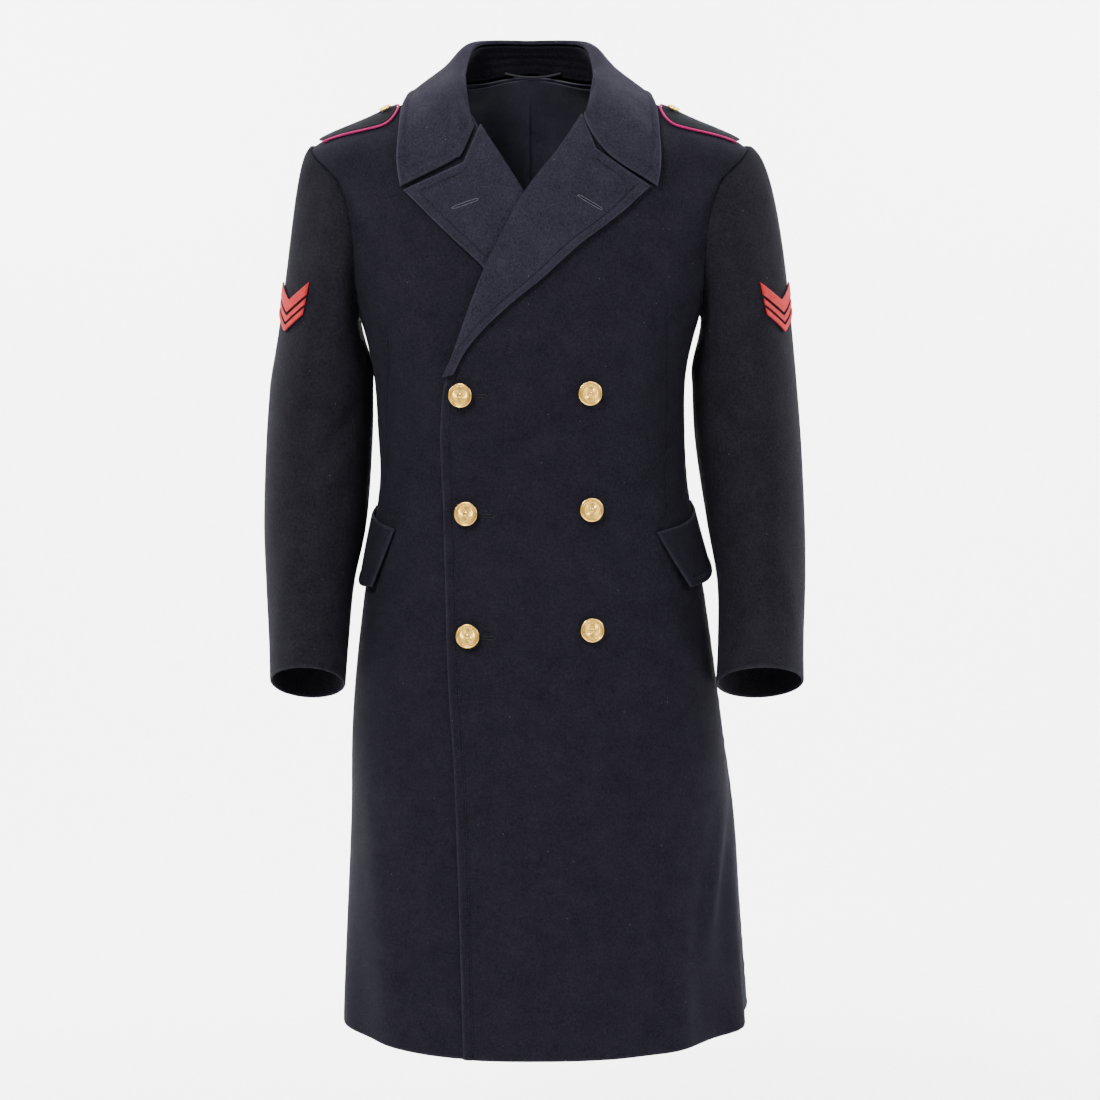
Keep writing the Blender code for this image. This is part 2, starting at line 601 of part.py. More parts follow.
def build_collar():
    """Collar leaf over its stand; the leaf's underside is kept clear of the fronts and backs."""
    leaf = collar_leaf(COLLAR_STEPS, LEAF_COLUMNS)
    normal = grid_normal(leaf)
    if normal[COLLAR_STEPS // 2, -1, 2] < 0:
        normal = -normal
    under = leaf - normal * DOUBLED
    away = clear_of_body(under, LEAF_CLEAR)
    wall("collar", leaf + away, under + away, make_material("collar_wool", LAPEL_WOOL, WOOL_ROUGHNESS))
    at = np.linspace(-STAND_REACH, STAND_REACH, COLLAR_STEPS)
    neck, (roll, _, _) = collar_lines(at)
    top = roll - np.array([0, 0, LEAF_HOOK + STAND_CLEAR])
    foot = neck + np.array([0, 0, STAND_SEAT])
    share = np.linspace(0, 1, STAND_COLUMNS)[None, :, None]
    inside = foot[:, None] * (1 - share) + top[:, None] * share
    outward = grid_normal(inside)
    if outward[COLLAR_STEPS // 2, 0, 1] < 0:
        outward = -outward
    wool = make_material("collar_stand_wool", WOOL, WOOL_ROUGHNESS)
    wall("collar_stand", inside + outward * CLOTH, inside, wool)


# Pocket flaps, columns: share across, angle at top, height at top, angle at foot, height at foot
FLAP_LEFT = np.array([(0.0, 45.5, -0.4880, 33.0, -0.5500), (0.5, 20.0, -0.4800, 12.0, -0.5460),
                      (1.0, -12.0, -0.4660, -12.0, -0.5340)])
FLAP_RIGHT = np.array([(0.0, 37.0, -0.4860, 27.0, -0.5510), (0.5, 16.0, -0.4800, 8.0, -0.5540),
                       (1.0, -12.0, -0.4720, -12.0, -0.5450)])
FLAP_COLUMNS = 10
FLAP_ROWS = 5
FLAP_SEAT = 0.0012
FLAP_CURL = 1.5
FLAP_STAND_OFF = {"flap_left": 0.0080, "flap_right": 0.0035}


def build_flaps():
    """Pocket flaps: sewn close at the top, standing off the hip at the foot."""
    for name, side, table in (("flap_left", 1, FLAP_LEFT), ("flap_right", -1, FLAP_RIGHT)):
        stand_off = FLAP_STAND_OFF[name]
        across = np.linspace(0, 1, FLAP_COLUMNS)
        down = np.linspace(0, 1, FLAP_ROWS)[:, None]
        cols = [smooth(table[:, 0], table[:, c], across) for c in (1, 2, 3, 4)]
        angle = cols[0] * (1 - down) + cols[2] * down
        height = cols[1] * (1 - down) + cols[3] * down
        lift = FLAP_SEAT + stand_off * down ** FLAP_CURL + 0 * angle
        turned = angle if side > 0 else 180 - angle
        under, normal = body(turned, height, lift)
        wall(name, under + normal * DOUBLED, under, make_material(name + "_wool", WOOL, WOOL_ROUGHNESS))


# Shoulder straps, seen from the top
STRAP_OUTER = 0.2250
STRAP_SWEEP = 0.0060
STRAP_INNER = 0.1400
STRAP_ROUND = 0.0140
STRAP_HALF = (0.0270, 0.0235)
STRAP_MIDDLE = (-0.0090, -0.0370)
STRAP_BEND = 1.4
STRAP_THICK = 0.0026
STRAP_SEAT = 0.0008
STRAP_ROWS = 11
STRAP_COLUMNS = 9
PIPING_RADIUS = 0.0013
PIPING_STEPS = 9
SHOULDER_HEIGHTS = (-0.150, -0.012)
HALVINGS = 40


def on_shoulder(x, y):
    """Point of the body above a place seen from the top, found by halving the height's range."""
    low = np.full(np.shape(x), SHOULDER_HEIGHTS[0])
    high = np.full(np.shape(x), SHOULDER_HEIGHTS[1])
    for _ in range(HALVINGS):
        middle = (low + high) / 2
        inside = body_field(np.stack([x, y, middle], -1)) < 1
        low = np.where(inside, middle, low)
        high = np.where(inside, high, middle)
    return np.stack([x, y, low], -1)


def strap_place(side, along, across):
    """Place seen from the top on a strap: an arc at its inner end, narrower and more forward inwards."""
    end = STRAP_INNER + STRAP_ROUND * (1 - np.sqrt(np.maximum(1 - across ** 2, 0)))
    start = STRAP_OUTER - STRAP_SWEEP * across ** 2
    x = start + (end - start) * along
    middle = STRAP_MIDDLE[1] + (STRAP_MIDDLE[0] - STRAP_MIDDLE[1]) * (1 - along) ** STRAP_BEND
    y = middle + across * (STRAP_HALF[0] + (STRAP_HALF[1] - STRAP_HALF[0]) * along)
    return side * x, y + 0 * x


def build_straps():
    """Shoulder straps with piping round three sides."""
    for side, word in ((1, "left"), (-1, "right")):
        along = np.linspace(0, 1, STRAP_ROWS)[:, None]
        across = np.linspace(-1, 1, STRAP_COLUMNS)[None, :]
        base = on_shoulder(*strap_place(side, along, across))
        normal = body_normal(base)
        wall(f"strap_{word}", base + normal * (STRAP_SEAT + STRAP_THICK), base + normal * STRAP_SEAT,
             make_material(f"strap_{word}_felt", FELT, WOOL_ROUGHNESS))
        out = np.linspace(0, 1, PIPING_STEPS)
        ends = np.linspace(-1, 1, PIPING_STEPS)[1:-1]
        along = np.concatenate([out, np.ones(PIPING_STEPS - 2), out[::-1]])
        across = np.concatenate([np.full(PIPING_STEPS, -1.0), ends, np.full(PIPING_STEPS, 1.0)])
        x, y = strap_place(side, along, across)
        ahead = unit(np.gradient(np.stack([x, y], -1), axis=0))
        push = side * (PIPING_RADIUS + 2 * SEAM_GAP)
        x, y = x - ahead[:, 1] * push, y + ahead[:, 0] * push
        base = on_shoulder(x, y)
        path = base + body_normal(base) * (STRAP_SEAT + PIPING_RADIUS)
        cord = make_material(f"piping_{word}_cord", CRIMSON, TRIM_ROUGHNESS)
        tube(f"piping_{word}", path, PIPING_RADIUS, cord)


def tube(name, path, radius, material):
    """A round cord along a path, with closed ends."""
    curve = bpy.data.curves.new(name, "CURVE")
    curve.dimensions = "3D"
    curve.bevel_depth = radius
    curve.bevel_resolution = 1
    curve.use_fill_caps = True
    spline = curve.splines.new("POLY")
    spline.points.add(len(path) - 1)
    for point, place in zip(spline.points, path):
        point.co = (*place, 1)
    return add_object(name, curve, material)


# Section of a button, columns: radius, height
BUTTON_PROFILE = (
    (0.0, 0.0060), (0.0082, 0.0056), (0.0100, 0.0054), (0.0110, 0.0062), (0.0122, 0.0060),
    (0.0125, 0.0050), (0.0116, 0.0032), (0.0042, 0.0026), (0.0036, 0.0), (0.0, 0.0))

# Places of the buttons on the lapping front, columns: x, height
BUTTONS = {
    "button_right_1": (-0.0676, -0.3411),
    "button_right_2": (-0.0638, -0.4655),
    "button_right_3": (-0.0625, -0.5929),
    "button_left_1": (0.0607, -0.3390),
    "button_left_2": (0.0637, -0.4612),
    "button_left_3": (0.0648, -0.5867),
}
BUTTON_STEPS = 16
STRAP_BUTTON_PLACE = (0.1510, -0.036)
STRAP_BUTTON_SCALE = 0.58
STRAP_BUTTON_STEPS = 12


def button(name, place, normal, scale, steps):
    """A turned button: its profile screwed round its axis, standing on the cloth."""
    mesh = bpy.data.meshes.new(name)
    points = [(radius * scale, 0, height * scale) for radius, height in BUTTON_PROFILE]
    mesh.from_pydata(points, [(i, i + 1) for i in range(len(points) - 1)], [])
    piece = add_object(name, mesh, make_material(name + "_gilt", GILT, 0.3, 1.0))
    screw = piece.modifiers.new("turn", "SCREW")
    screw.steps = steps
    screw.render_steps = steps
    screw.use_merge_vertices = True
    screw.merge_threshold = 0.00001
    screw.use_smooth_shade = True
    piece.location = place
    axis = mathutils.Vector(normal)
    piece.rotation_mode = "QUATERNION"
    piece.rotation_quaternion = axis.to_track_quat("Z", "Y")
    return piece


def build_buttons():
    """Six large buttons on the lapping front and one small one on each strap."""
    for name, (x, z) in BUTTONS.items():
        x, z = np.array(x), np.array(z)
        point, normal = on_front(x, z, left_lift(x, z))
        button(name, point + normal * SEAM_GAP, normal, 1.0, BUTTON_STEPS)
    for side, word in ((1, "left"), (-1, "right")):
        x, y = STRAP_BUTTON_PLACE
        base = on_shoulder(np.array(side * x), np.array(y))
        normal = body_normal(base)
        place = base + normal * (STRAP_SEAT + STRAP_THICK + SEAM_GAP)
        button(f"strap_button_{word}", place, normal, STRAP_BUTTON_SCALE, STRAP_BUTTON_STEPS)


# Sleeve badges: three stripes that point down, on a patch
BADGE_TURN = math.radians(140)
BADGE_TOP = -0.2445
BADGE_HALF = 0.0240
BADGE_SLOPE = 0.80

# Rows of a badge, columns: distance down its middle, thickness
BADGE_ROWS = np.array([
    (0.0000, 0.0012), (0.0003, 0.0026), (0.0145, 0.0026), (0.0148, 0.0012), (0.0172, 0.0012),
    (0.0175, 0.0024), (0.0245, 0.0024), (0.0248, 0.0012), (0.0272, 0.0012), (0.0275, 0.0024),
    (0.0345, 0.0024), (0.0350, 0.0012)])
BADGE_COLUMNS = 9
BADGE_RADIUS = 0.062
BADGE_SEAT = 0.0007
BADGE_REACH = 1.2
BADGE_SAMPLES = 200


def build_badges():
    """Stripes on a patch on each sleeve: a grid that follows the sleeve, thick where a stripe lies."""
    for side, word in ((1, "left"), (-1, "right")):
        rows = np.linspace(0, BADGE_REACH, BADGE_SAMPLES)
        across = np.linspace(-1, 1, BADGE_COLUMNS)
        turn = BADGE_TURN + across * BADGE_HALF / BADGE_RADIUS
        base = np.empty((len(BADGE_ROWS), BADGE_COLUMNS, 3))
        normal = np.empty_like(base)
        for col in range(BADGE_COLUMNS):
            column = turn[col:col + 1]
            line = sleeve_grid(side, column, rows)[:, 0]
            height = BADGE_TOP - BADGE_ROWS[:, 0] + BADGE_SLOPE * BADGE_HALF * abs(across[col])
            place = np.interp(-height, -line[:, 2], rows)
            base[:, col] = sleeve_grid(side, column, place)[:, 0]
            normal[:, col] = sleeve_normal(side, column, place)[:, 0]
        thick = BADGE_ROWS[:, 1][:, None, None]
        braid = make_material(f"chevron_{word}_braid", BRAID, TRIM_ROUGHNESS)
        wall(f"chevron_{word}", base + normal * (BADGE_SEAT + thick), base + normal * BADGE_SEAT, braid)


LOOP_MIDDLE = 0.003
LOOP_HALF = 0.031
LOOP_TOP = 0.0025
LOOP_BOW = 0.0004
LOOP_RADIUS = 0.0012
LOOP_SAG = 0.0045
LOOP_Y = 0.0700
LOOP_STEPS = 13


def build_loop():
    """Hanging loop: a cord that sags between two points of the collar's seam at the back."""
    across = np.linspace(-1, 1, LOOP_STEPS)
    x = LOOP_MIDDLE + across * LOOP_HALF
    y = LOOP_Y + LOOP_BOW * across ** 4
    z = LOOP_TOP - LOOP_SAG * (1 - across ** 2)
    cord = make_material("hanger_loop_cord", CORD, TRIM_ROUGHNESS)
    tube("hanger_loop", np.stack([x, y, z], -1), LOOP_RADIUS, cord)


LINING_HEIGHT = -0.250
LINING_COLUMNS = 17
LINING_ROWS = 9
LINING_EASE = 0.0032
LINING_DROP = 0.001
LINING_BEND = 0.6
LINING_TOP_ANGLES = (12, 168)
LINING_LOW_ANGLES = (42, 138)


def build_lining():
    """Back lining: from the neckline down inside the backs, as far as the neck opening shows."""
    top_angle = np.linspace(*LINING_TOP_ANGLES, LINING_COLUMNS)
    low_angle = np.linspace(*LINING_LOW_ANGLES, LINING_COLUMNS)
    from_side = np.minimum(top_angle, 180 - top_angle)
    top_height = smooth(NECK_BACK[:, 0], NECK_BACK[:, 1], from_side) - LINING_DROP
    down = np.linspace(0, 1, LINING_ROWS)[:, None]
    bend = down ** LINING_BEND
    angle = low_angle * bend + top_angle * (1 - bend)
    height = LINING_HEIGHT * down + top_height * (1 - down)
    outer, normal = body(-angle, height, 0.0)
    outer = outer - normal * (CLOTH + LINING_EASE)
    wall("back_lining", outer, outer - normal * LINING, make_material("back_lining_satin", SATIN, 0.5))


def main():
    """Clear the scene and build the coat."""
    for old in list(bpy.data.objects):
        bpy.data.objects.remove(old, do_unlink=True)
    collection = bpy.data.collections.new(COLLECTION)
    bpy.context.scene.collection.children.link(collection)
    build_body()
    build_sleeves()
    build_lapels()
    build_collar()
    build_flaps()
    build_straps()
    build_buttons()
    build_badges()
    build_loop()
    build_lining()


main()
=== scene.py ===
import math

import bpy
import numpy as np
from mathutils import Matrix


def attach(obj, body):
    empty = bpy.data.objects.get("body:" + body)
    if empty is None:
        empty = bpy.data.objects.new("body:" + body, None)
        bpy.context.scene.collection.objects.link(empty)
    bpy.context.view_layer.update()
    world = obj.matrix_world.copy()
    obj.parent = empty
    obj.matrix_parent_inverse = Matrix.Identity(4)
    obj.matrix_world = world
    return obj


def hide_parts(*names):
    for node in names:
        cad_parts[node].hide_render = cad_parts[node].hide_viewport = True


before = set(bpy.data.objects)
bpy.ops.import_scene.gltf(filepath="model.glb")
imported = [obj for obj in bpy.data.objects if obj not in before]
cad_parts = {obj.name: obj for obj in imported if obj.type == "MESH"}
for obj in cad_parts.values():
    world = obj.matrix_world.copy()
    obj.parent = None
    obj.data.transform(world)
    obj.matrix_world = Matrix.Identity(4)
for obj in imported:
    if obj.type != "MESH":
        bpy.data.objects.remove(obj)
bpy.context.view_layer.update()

# A double-breasted wool greatcoat in its worn form. Metres, front towards -Y, wearer's left at +X.
# Each CAD piece is redrawn as a fine cloth shell on the same form, with its creases, seams and stitches.

# Cloth thicknesses and edges
CLOTH = 0.0022
HEM_CLOTH = 0.0030
DOUBLED = 0.0034
LINING = 0.0010
SEAM_LAP = 0.0007
BUTTON_GAP = 0.0003
CREASE_FADE = 0.012
SEAM_ROLL = 0.0017
EDGE_ROLL = 0.0024
STITCH_INSET = 0.0108
STITCH_DEPTH = 0.0009
STITCH_WIDTH = 0.0009
EDGE_PUFF = 0.0010
SECTION_POWER = 2.4
SLOPE_STEP = 0.0002

# Places beside an edge or a stitch line where grid lines crowd together
CROWD = np.array([0.0, 0.00015, 0.0005, 0.0010, 0.0017, 0.0028])

# Body sections from hem to neck
# columns: height, right half width, left half width, front depth, back depth
SECTIONS = np.array([
    (-1.060, 0.2095, 0.2460, 0.1780, 0.1870),
    (-1.035, 0.2085, 0.2440, 0.1770, 0.1850),
    (-0.896, 0.2020, 0.2325, 0.1690, 0.1740),
    (-0.807, 0.1980, 0.2255, 0.1640, 0.1650),
    (-0.709, 0.1960, 0.2120, 0.1590, 0.1550),
    (-0.575, 0.1830, 0.1930, 0.1500, 0.1370),
    (-0.500, 0.1720, 0.1810, 0.1440, 0.1210),
    (-0.435, 0.1635, 0.1715, 0.1410, 0.1110),
    (-0.387, 0.1655, 0.1690, 0.1420, 0.1130),
    (-0.320, 0.1705, 0.1705, 0.1430, 0.1230),
    (-0.262, 0.1845, 0.1845, 0.1400, 0.1300),
    (-0.235, 0.1930, 0.1930, 0.1370, 0.1320),
    (-0.180, 0.2075, 0.2075, 0.1280, 0.1310),
    (-0.120, 0.2225, 0.2225, 0.1120, 0.1230),
    (-0.080, 0.2310, 0.2310, 0.0970, 0.1140),
    (-0.052, 0.1710, 0.1710, 0.0830, 0.1050),
    (-0.030, 0.1240, 0.1240, 0.0710, 0.0950),
    (-0.012, 0.0830, 0.0830, 0.0600, 0.0850),
    (0.000, 0.0620, 0.0620, 0.0530, 0.0780),
    (0.010, 0.0480, 0.0480, 0.0470, 0.0720),
])
HEIGHT, HALF_RIGHT, HALF_LEFT, DEPTH_FRONT, DEPTH_BACK = range(5)
NECK_TOP = 0.004

# Large folds of the skirt
# columns: angle at top, angle at bottom, top height, bottom height, half width in degrees, height
FOLDS = np.array([
    (24.0, 38.0, -0.76, -1.04, 9.0, -0.0060),
    (16.0, 24.0, -0.80, -1.04, 7.0, 0.0070),
    (8.0, 10.0, -0.84, -1.04, 6.0, -0.0050),
    (52.0, 55.0, -0.92, -1.04, 7.0, 0.0040),
    (166.0, 160.0, -0.86, -1.04, 7.0, 0.0045),
    (150.0, 144.0, -0.92, -1.04, 7.0, -0.0035),
    (196.0, 200.0, -0.74, -1.04, 9.0, 0.0080),
    (222.0, 224.0, -0.66, -1.04, 10.0, -0.0070),
    (246.0, 250.0, -0.70, -1.04, 9.0, 0.0070),
    (292.0, 288.0, -0.64, -1.04, 9.0, 0.0080),
    (314.0, 316.0, -0.72, -1.04, 10.0, -0.0075),
    (336.0, 338.0, -0.70, -1.04, 9.0, 0.0080),
])


def smooth(keys, values, at):
    """Curve through table rows: cubic Hermite pieces whose slopes are the rows' own gradient."""
    keys = np.asarray(keys, float)
    values = np.asarray(values, float)
    at = np.clip(np.asarray(at, float), keys[0], keys[-1])
    slopes = np.gradient(values, keys, axis=0)
    row = np.clip(np.searchsorted(keys, at, side="right") - 1, 0, len(keys) - 2)
    span = keys[row + 1] - keys[row]
    s = (at - keys[row]) / span
    if values.ndim == 2:
        span, s = span[..., None], s[..., None]
    start = (1 + 2 * s) * (1 - s) ** 2 * values[row] + s * (1 - s) ** 2 * span * slopes[row]
    return start + s * s * (3 - 2 * s) * values[row + 1] + s * s * (s - 1) * span * slopes[row + 1]


def smooth_rows(keys, values, at):
    """The same curve for many rows at once: values are rows by keys by 3, at is rows by places."""
    slopes = np.gradient(values, keys, axis=1)
    left = np.clip(np.searchsorted(keys, at, side="right") - 1, 0, len(keys) - 2)
    row = np.arange(len(at))[:, None]
    span = (keys[left + 1] - keys[left])[..., None]
    s = (at - keys[left])[..., None] / span
    start = (1 + 2 * s) * (1 - s) ** 2 * values[row, left] + s * (1 - s) ** 2 * span * slopes[row, left]
    end = s * s * (3 - 2 * s) * values[row, left + 1] + s * s * (s - 1) * span * slopes[row, left + 1]
    return start + end


def ease(value, start, end):
    """Go smoothly from 0 at start to 1 at end."""
    s = np.clip((np.asarray(value, float) - start) / (end - start), 0, 1)
    return s * s * (3 - 2 * s)


def bell(away, width):
    """A soft hump: the exponential of minus the square of distance over width."""
    return np.exp(-(away / width) ** 2)


def unit(vectors):
    """Vectors made one long."""
    return vectors / np.maximum(np.linalg.norm(vectors, axis=-1, keepdims=True), 1e-12)


def section(column, height):
    """Read one size of the body's section at a height."""
    return smooth(SECTIONS[:, HEIGHT], SECTIONS[:, column], height)


def half_width(x, height):
    """Half width on the side where x lies."""
    return np.where(x < 0, section(HALF_RIGHT, height), section(HALF_LEFT, height))


def depth(y, height):
    """Depth in front of the middle plane, or behind it."""
    return np.where(y < 0, section(DEPTH_FRONT, height), section(DEPTH_BACK, height))


def angle_at(x, z):
    """Angle round the body of a front point: 0 at the wearer's left, 90 at centre front."""
    share = np.clip(np.abs(x / half_width(x, z)), 0, 1) ** (SECTION_POWER / 2)
    return np.degrees(np.arccos(np.sign(x) * share))


def relief(angle, z):
    """Height of the large folds: each is a bell across its width that fades in towards the hem."""
    total = np.zeros(np.broadcast(angle, z).shape)
    for top_angle, bottom_angle, top, bottom, width, height in FOLDS:
        along = ease(z, top, bottom)
        middle = top_angle + (bottom_angle - top_angle) * along
        away = (angle - middle + 180) % 360 - 180
        total += height * along * bell(away, width)
    return total


def body_field(point):
    """Section equation at a point: 1 on the body, less inside it."""
    x, y, z = point[..., 0], point[..., 1], point[..., 2]
    return np.abs(x / half_width(x, z)) ** SECTION_POWER + np.abs(y / depth(y, z)) ** SECTION_POWER


def body_slope(point):
    """Gradient of the section equation, by central differences."""
    moves = np.eye(3) * SLOPE_STEP
    slopes = [(body_field(point + m) - body_field(point - m)) / (2 * SLOPE_STEP) for m in moves]
    return np.stack(slopes, -1)


def body(angle, z, lift=0.0):
    """Point and outward normal: x and y are the cosine and sine to the power 2/2.4 times the half sizes."""
    angle = np.asarray(angle, float)
    z = np.asarray(z, float)
    c = np.cos(np.radians(angle))
    s = np.sin(np.radians(angle))
    power = 2 / SECTION_POWER
    width = np.where(c < 0, section(HALF_RIGHT, z), section(HALF_LEFT, z))
    deep = np.where(s > 0, section(DEPTH_FRONT, z), section(DEPTH_BACK, z))
    point = np.stack([width * np.sign(c) * np.abs(c) ** power, -deep * np.sign(s) * np.abs(s) ** power,
                      z + 0 * c], -1)
    normal = unit(body_slope(point))
    return point + normal * np.asarray(lift + relief(angle, z))[..., None], normal


def on_front(x, z, lift=0.0):
    """Point and normal on the front at x and z."""
    return body(angle_at(x, z), z, lift)


# Creases of the body, placed one by one
# columns: x and height of start, middle and end, half width, height, 1 front or -1 back
CREASES = np.array([
    (0.2085, -0.790, 0.2005, -0.866, 0.1927, -0.940, 0.0085, 0.0042, 1),
    (0.1880, -0.830, 0.1840, -0.900, 0.1780, -0.985, 0.0120, -0.0036, 1),
    (0.2238, -0.712, 0.2131, -0.885, 0.2240, -1.008, 0.0110, -0.0038, 1),
    (-0.0457, -0.7308, 0.0100, -0.7385, 0.0650, -0.7350, 0.0060, -0.0011, 1),
    (-0.0400, -0.7440, 0.0120, -0.7500, 0.0600, -0.7480, 0.0070, 0.0007, 1),
    (0.0300, -0.800, 0.0900, -0.900, 0.1600, -0.976, 0.0240, -0.0038, 1),
    (-0.0200, -0.860, 0.0550, -0.955, 0.1300, -1.020, 0.0240, 0.0034, 1),
    (-0.1750, -0.760, -0.1600, -0.880, -0.1480, -1.010, 0.0200, 0.0026, 1),
    (-0.1350, -0.820, -0.1250, -0.920, -0.1180, -1.030, 0.0180, -0.0022, 1),
    (0.1350, -0.980, 0.1380, -1.005, 0.1400, -1.035, 0.0080, -0.0034, 1),
    (0.1600, -0.970, 0.1620, -1.000, 0.1650, -1.030, 0.0090, 0.0036, 1),
    (0.1850, -0.975, 0.1870, -1.000, 0.1900, -1.028, 0.0080, -0.0032, 1),
    (0.1900, -0.200, 0.1680, -0.245, 0.1560, -0.310, 0.0110, 0.0016, 1),
    (0.1780, -0.230, 0.1640, -0.275, 0.1620, -0.345, 0.0090, -0.0016, 1),
    (-0.1880, -0.195, -0.1660, -0.240, -0.1560, -0.305, 0.0110, 0.0016, 1),
    (-0.1760, -0.240, -0.1620, -0.290, -0.1600, -0.360, 0.0090, -0.0015, 1),
    (0.1620, -0.400, 0.1400, -0.430, 0.1050, -0.440, 0.0130, -0.0014, 1),
    (-0.1560, -0.395, -0.1380, -0.425, -0.1080, -0.436, 0.0130, -0.0014, 1),
    (0.1500, -0.440, 0.1280, -0.468, 0.0950, -0.480, 0.0120, 0.0012, 1),
    (-0.1500, -0.445, -0.1300, -0.470, -0.1000, -0.484, 0.0120, 0.0012, 1),
    (0.1000, -0.560, 0.1150, -0.640, 0.1100, -0.740, 0.0220, -0.0018, 1),
    (-0.1180, -0.570, -0.1300, -0.660, -0.1300, -0.760, 0.0220, -0.0016, 1),
    (0.0350, -0.600, 0.0300, -0.680, 0.0380, -0.780, 0.0200, 0.0012, 1),
    (0.1500, -0.390, 0.1050, -0.425, 0.0450, -0.432, 0.0130, -0.0020, -1),
    (-0.1480, -0.400, -0.1000, -0.430, -0.0400, -0.440, 0.0130, -0.0020, -1),
    (0.1420, -0.430, 0.0900, -0.462, 0.0300, -0.466, 0.0120, 0.0017, -1),
    (-0.1400, -0.436, -0.0880, -0.470, -0.0350, -0.478, 0.0120, 0.0017, -1),
    (0.1700, -0.200, 0.1500, -0.260, 0.1380, -0.340, 0.0120, -0.0020, -1),
    (-0.1700, -0.205, -0.1500, -0.265, -0.1400, -0.345, 0.0120, -0.0020, -1),
    (0.1550, -0.190, 0.1320, -0.250, 0.1200, -0.320, 0.0110, 0.0016, -1),
    (-0.1550, -0.195, -0.1340, -0.250, -0.1240, -0.320, 0.0110, 0.0016, -1),
    (0.0600, -0.600, 0.0750, -0.740, 0.0850, -0.900, 0.0220, 0.0030, -1),
    (-0.0650, -0.580, -0.0800, -0.720, -0.0900, -0.900, 0.0220, 0.0030, -1),
    (0.1350, -0.640, 0.1450, -0.780, 0.1500, -0.950, 0.0200, -0.0026, -1),
    (-0.1300, -0.660, -0.1380, -0.800, -0.1420, -0.960, 0.0200, -0.0026, -1),
    (0.0700, -0.030, 0.0400, -0.060, -0.0100, -0.070, 0.0140, -0.0010, -1),
    (-0.1000, -0.060, -0.0700, -0.100, -0.0300, -0.120, 0.0150, 0.0010, -1),
])
CREASE_SAMPLES = 70

# Creases of each sleeve
# columns: turn and row of start, middle and end, half width, height
SLEEVE_CREASES = {
    1: np.array([
        (85, 0.50, 115, 0.75, 145, 0.98, 0.0110, 0.0016),
        (62, 0.42, 80, 0.66, 108, 0.92, 0.0100, -0.0014),
        (30, 0.62, 45, 0.82, 70, 0.98, 0.0100, -0.0018),
        (20, 1.04, 62, 1.14, 112, 1.20, 0.0095, -0.0024),
        (15, 1.14, 60, 1.24, 118, 1.27, 0.0100, 0.0020),
        (30, 1.28, 72, 1.34, 128, 1.34, 0.0095, -0.0019),
        (245, 1.10, 285, 1.22, 330, 1.20, 0.0110, -0.0024),
        (240, 1.24, 280, 1.34, 325, 1.36, 0.0110, 0.0020),
        (225, 1.36, 270, 1.46, 320, 1.50, 0.0110, -0.0018),
        (100, 1.45, 120, 1.65, 135, 1.90, 0.0130, 0.0014),
        (50, 1.50, 70, 1.68, 80, 1.90, 0.0130, -0.0014),
        (250, 0.30, 262, 0.60, 270, 0.95, 0.0120, 0.0016),
        (220, 0.35, 235, 0.62, 245, 0.92, 0.0110, -0.0014),
        (150, 0.10, 155, 0.30, 160, 0.52, 0.0090, -0.0010)]),
    -1: np.array([
        (85, 0.42, 100, 0.62, 116, 0.80, 0.0085, 0.0018),
        (70, 0.36, 82, 0.58, 96, 0.78, 0.0080, -0.0014),
        (44, 0.56, 36, 0.74, 28, 0.88, 0.0075, -0.0024),
        (95, 1.28, 62, 1.18, 30, 1.04, 0.0090, -0.0028),
        (100, 1.38, 64, 1.29, 28, 1.16, 0.0095, 0.0022),
        (108, 1.46, 70, 1.40, 30, 1.30, 0.0095, -0.0018),
        (245, 1.08, 285, 1.18, 330, 1.18, 0.0110, -0.0024),
        (240, 1.22, 280, 1.30, 325, 1.34, 0.0110, 0.0020),
        (225, 1.34, 270, 1.44, 320, 1.46, 0.0110, -0.0018),
        (102, 1.50, 120, 1.68, 132, 1.92, 0.0130, 0.0013),
        (54, 1.54, 70, 1.70, 82, 1.92, 0.0130, -0.0014),
        (252, 0.30, 262, 0.60, 268, 0.95, 0.0120, 0.0016),
        (222, 0.35, 235, 0.62, 243, 0.92, 0.0110, -0.0014),
        (132, 0.08, 140, 0.22, 146, 0.40, 0.0080, -0.0012)]),
}


def crease_height(points, lines, sizes):
    """Sum of creases: each is a bell round a parabola through three places, and fades at both ends."""
    total = np.zeros(points.shape[:-1])
    t = np.linspace(0, 1, CREASE_SAMPLES)[:, None]
    for (start, middle, end), (width, height) in zip(lines, sizes):
        pull = 2 * middle - (start + end) / 2
        path = (1 - t) ** 2 * start + 2 * t * (1 - t) * pull + t * t * end
        low, high = path.min(0) - 3 * width, path.max(0) + 3 * width
        near = ((points > low) & (points < high)).all(-1)
        away = np.linalg.norm(points[near][:, None] - path[None], axis=-1)
        place = away.argmin(1)
        fade = np.sin(math.pi * np.clip(t[place, 0], 0.01, 0.99)) ** 0.7
        total[near] += height * fade * bell(away.min(1), width)
    return total


def body_creases(points):
    """Height of the body's listed creases at points on it."""
    side = CREASES[:, 8]
    places = []
    for x, z in ((0, 1), (2, 3), (4, 5)):
        angle = angle_at(CREASES[:, x], CREASES[:, z]) * side
        places.append(body(angle, CREASES[:, z])[0])
    return crease_height(points, np.stack(places, 1), CREASES[:, 6:8])


def arc_lengths(grid, axis):
    """Lengths along the lines of a grid of points, from their first point."""
    step = np.linalg.norm(np.diff(grid, axis=axis), axis=-1)
    total = np.cumsum(step, axis=axis)
    first = np.zeros_like(np.take(total, [0], axis=axis))
    return np.concatenate([first, total], axis=axis)


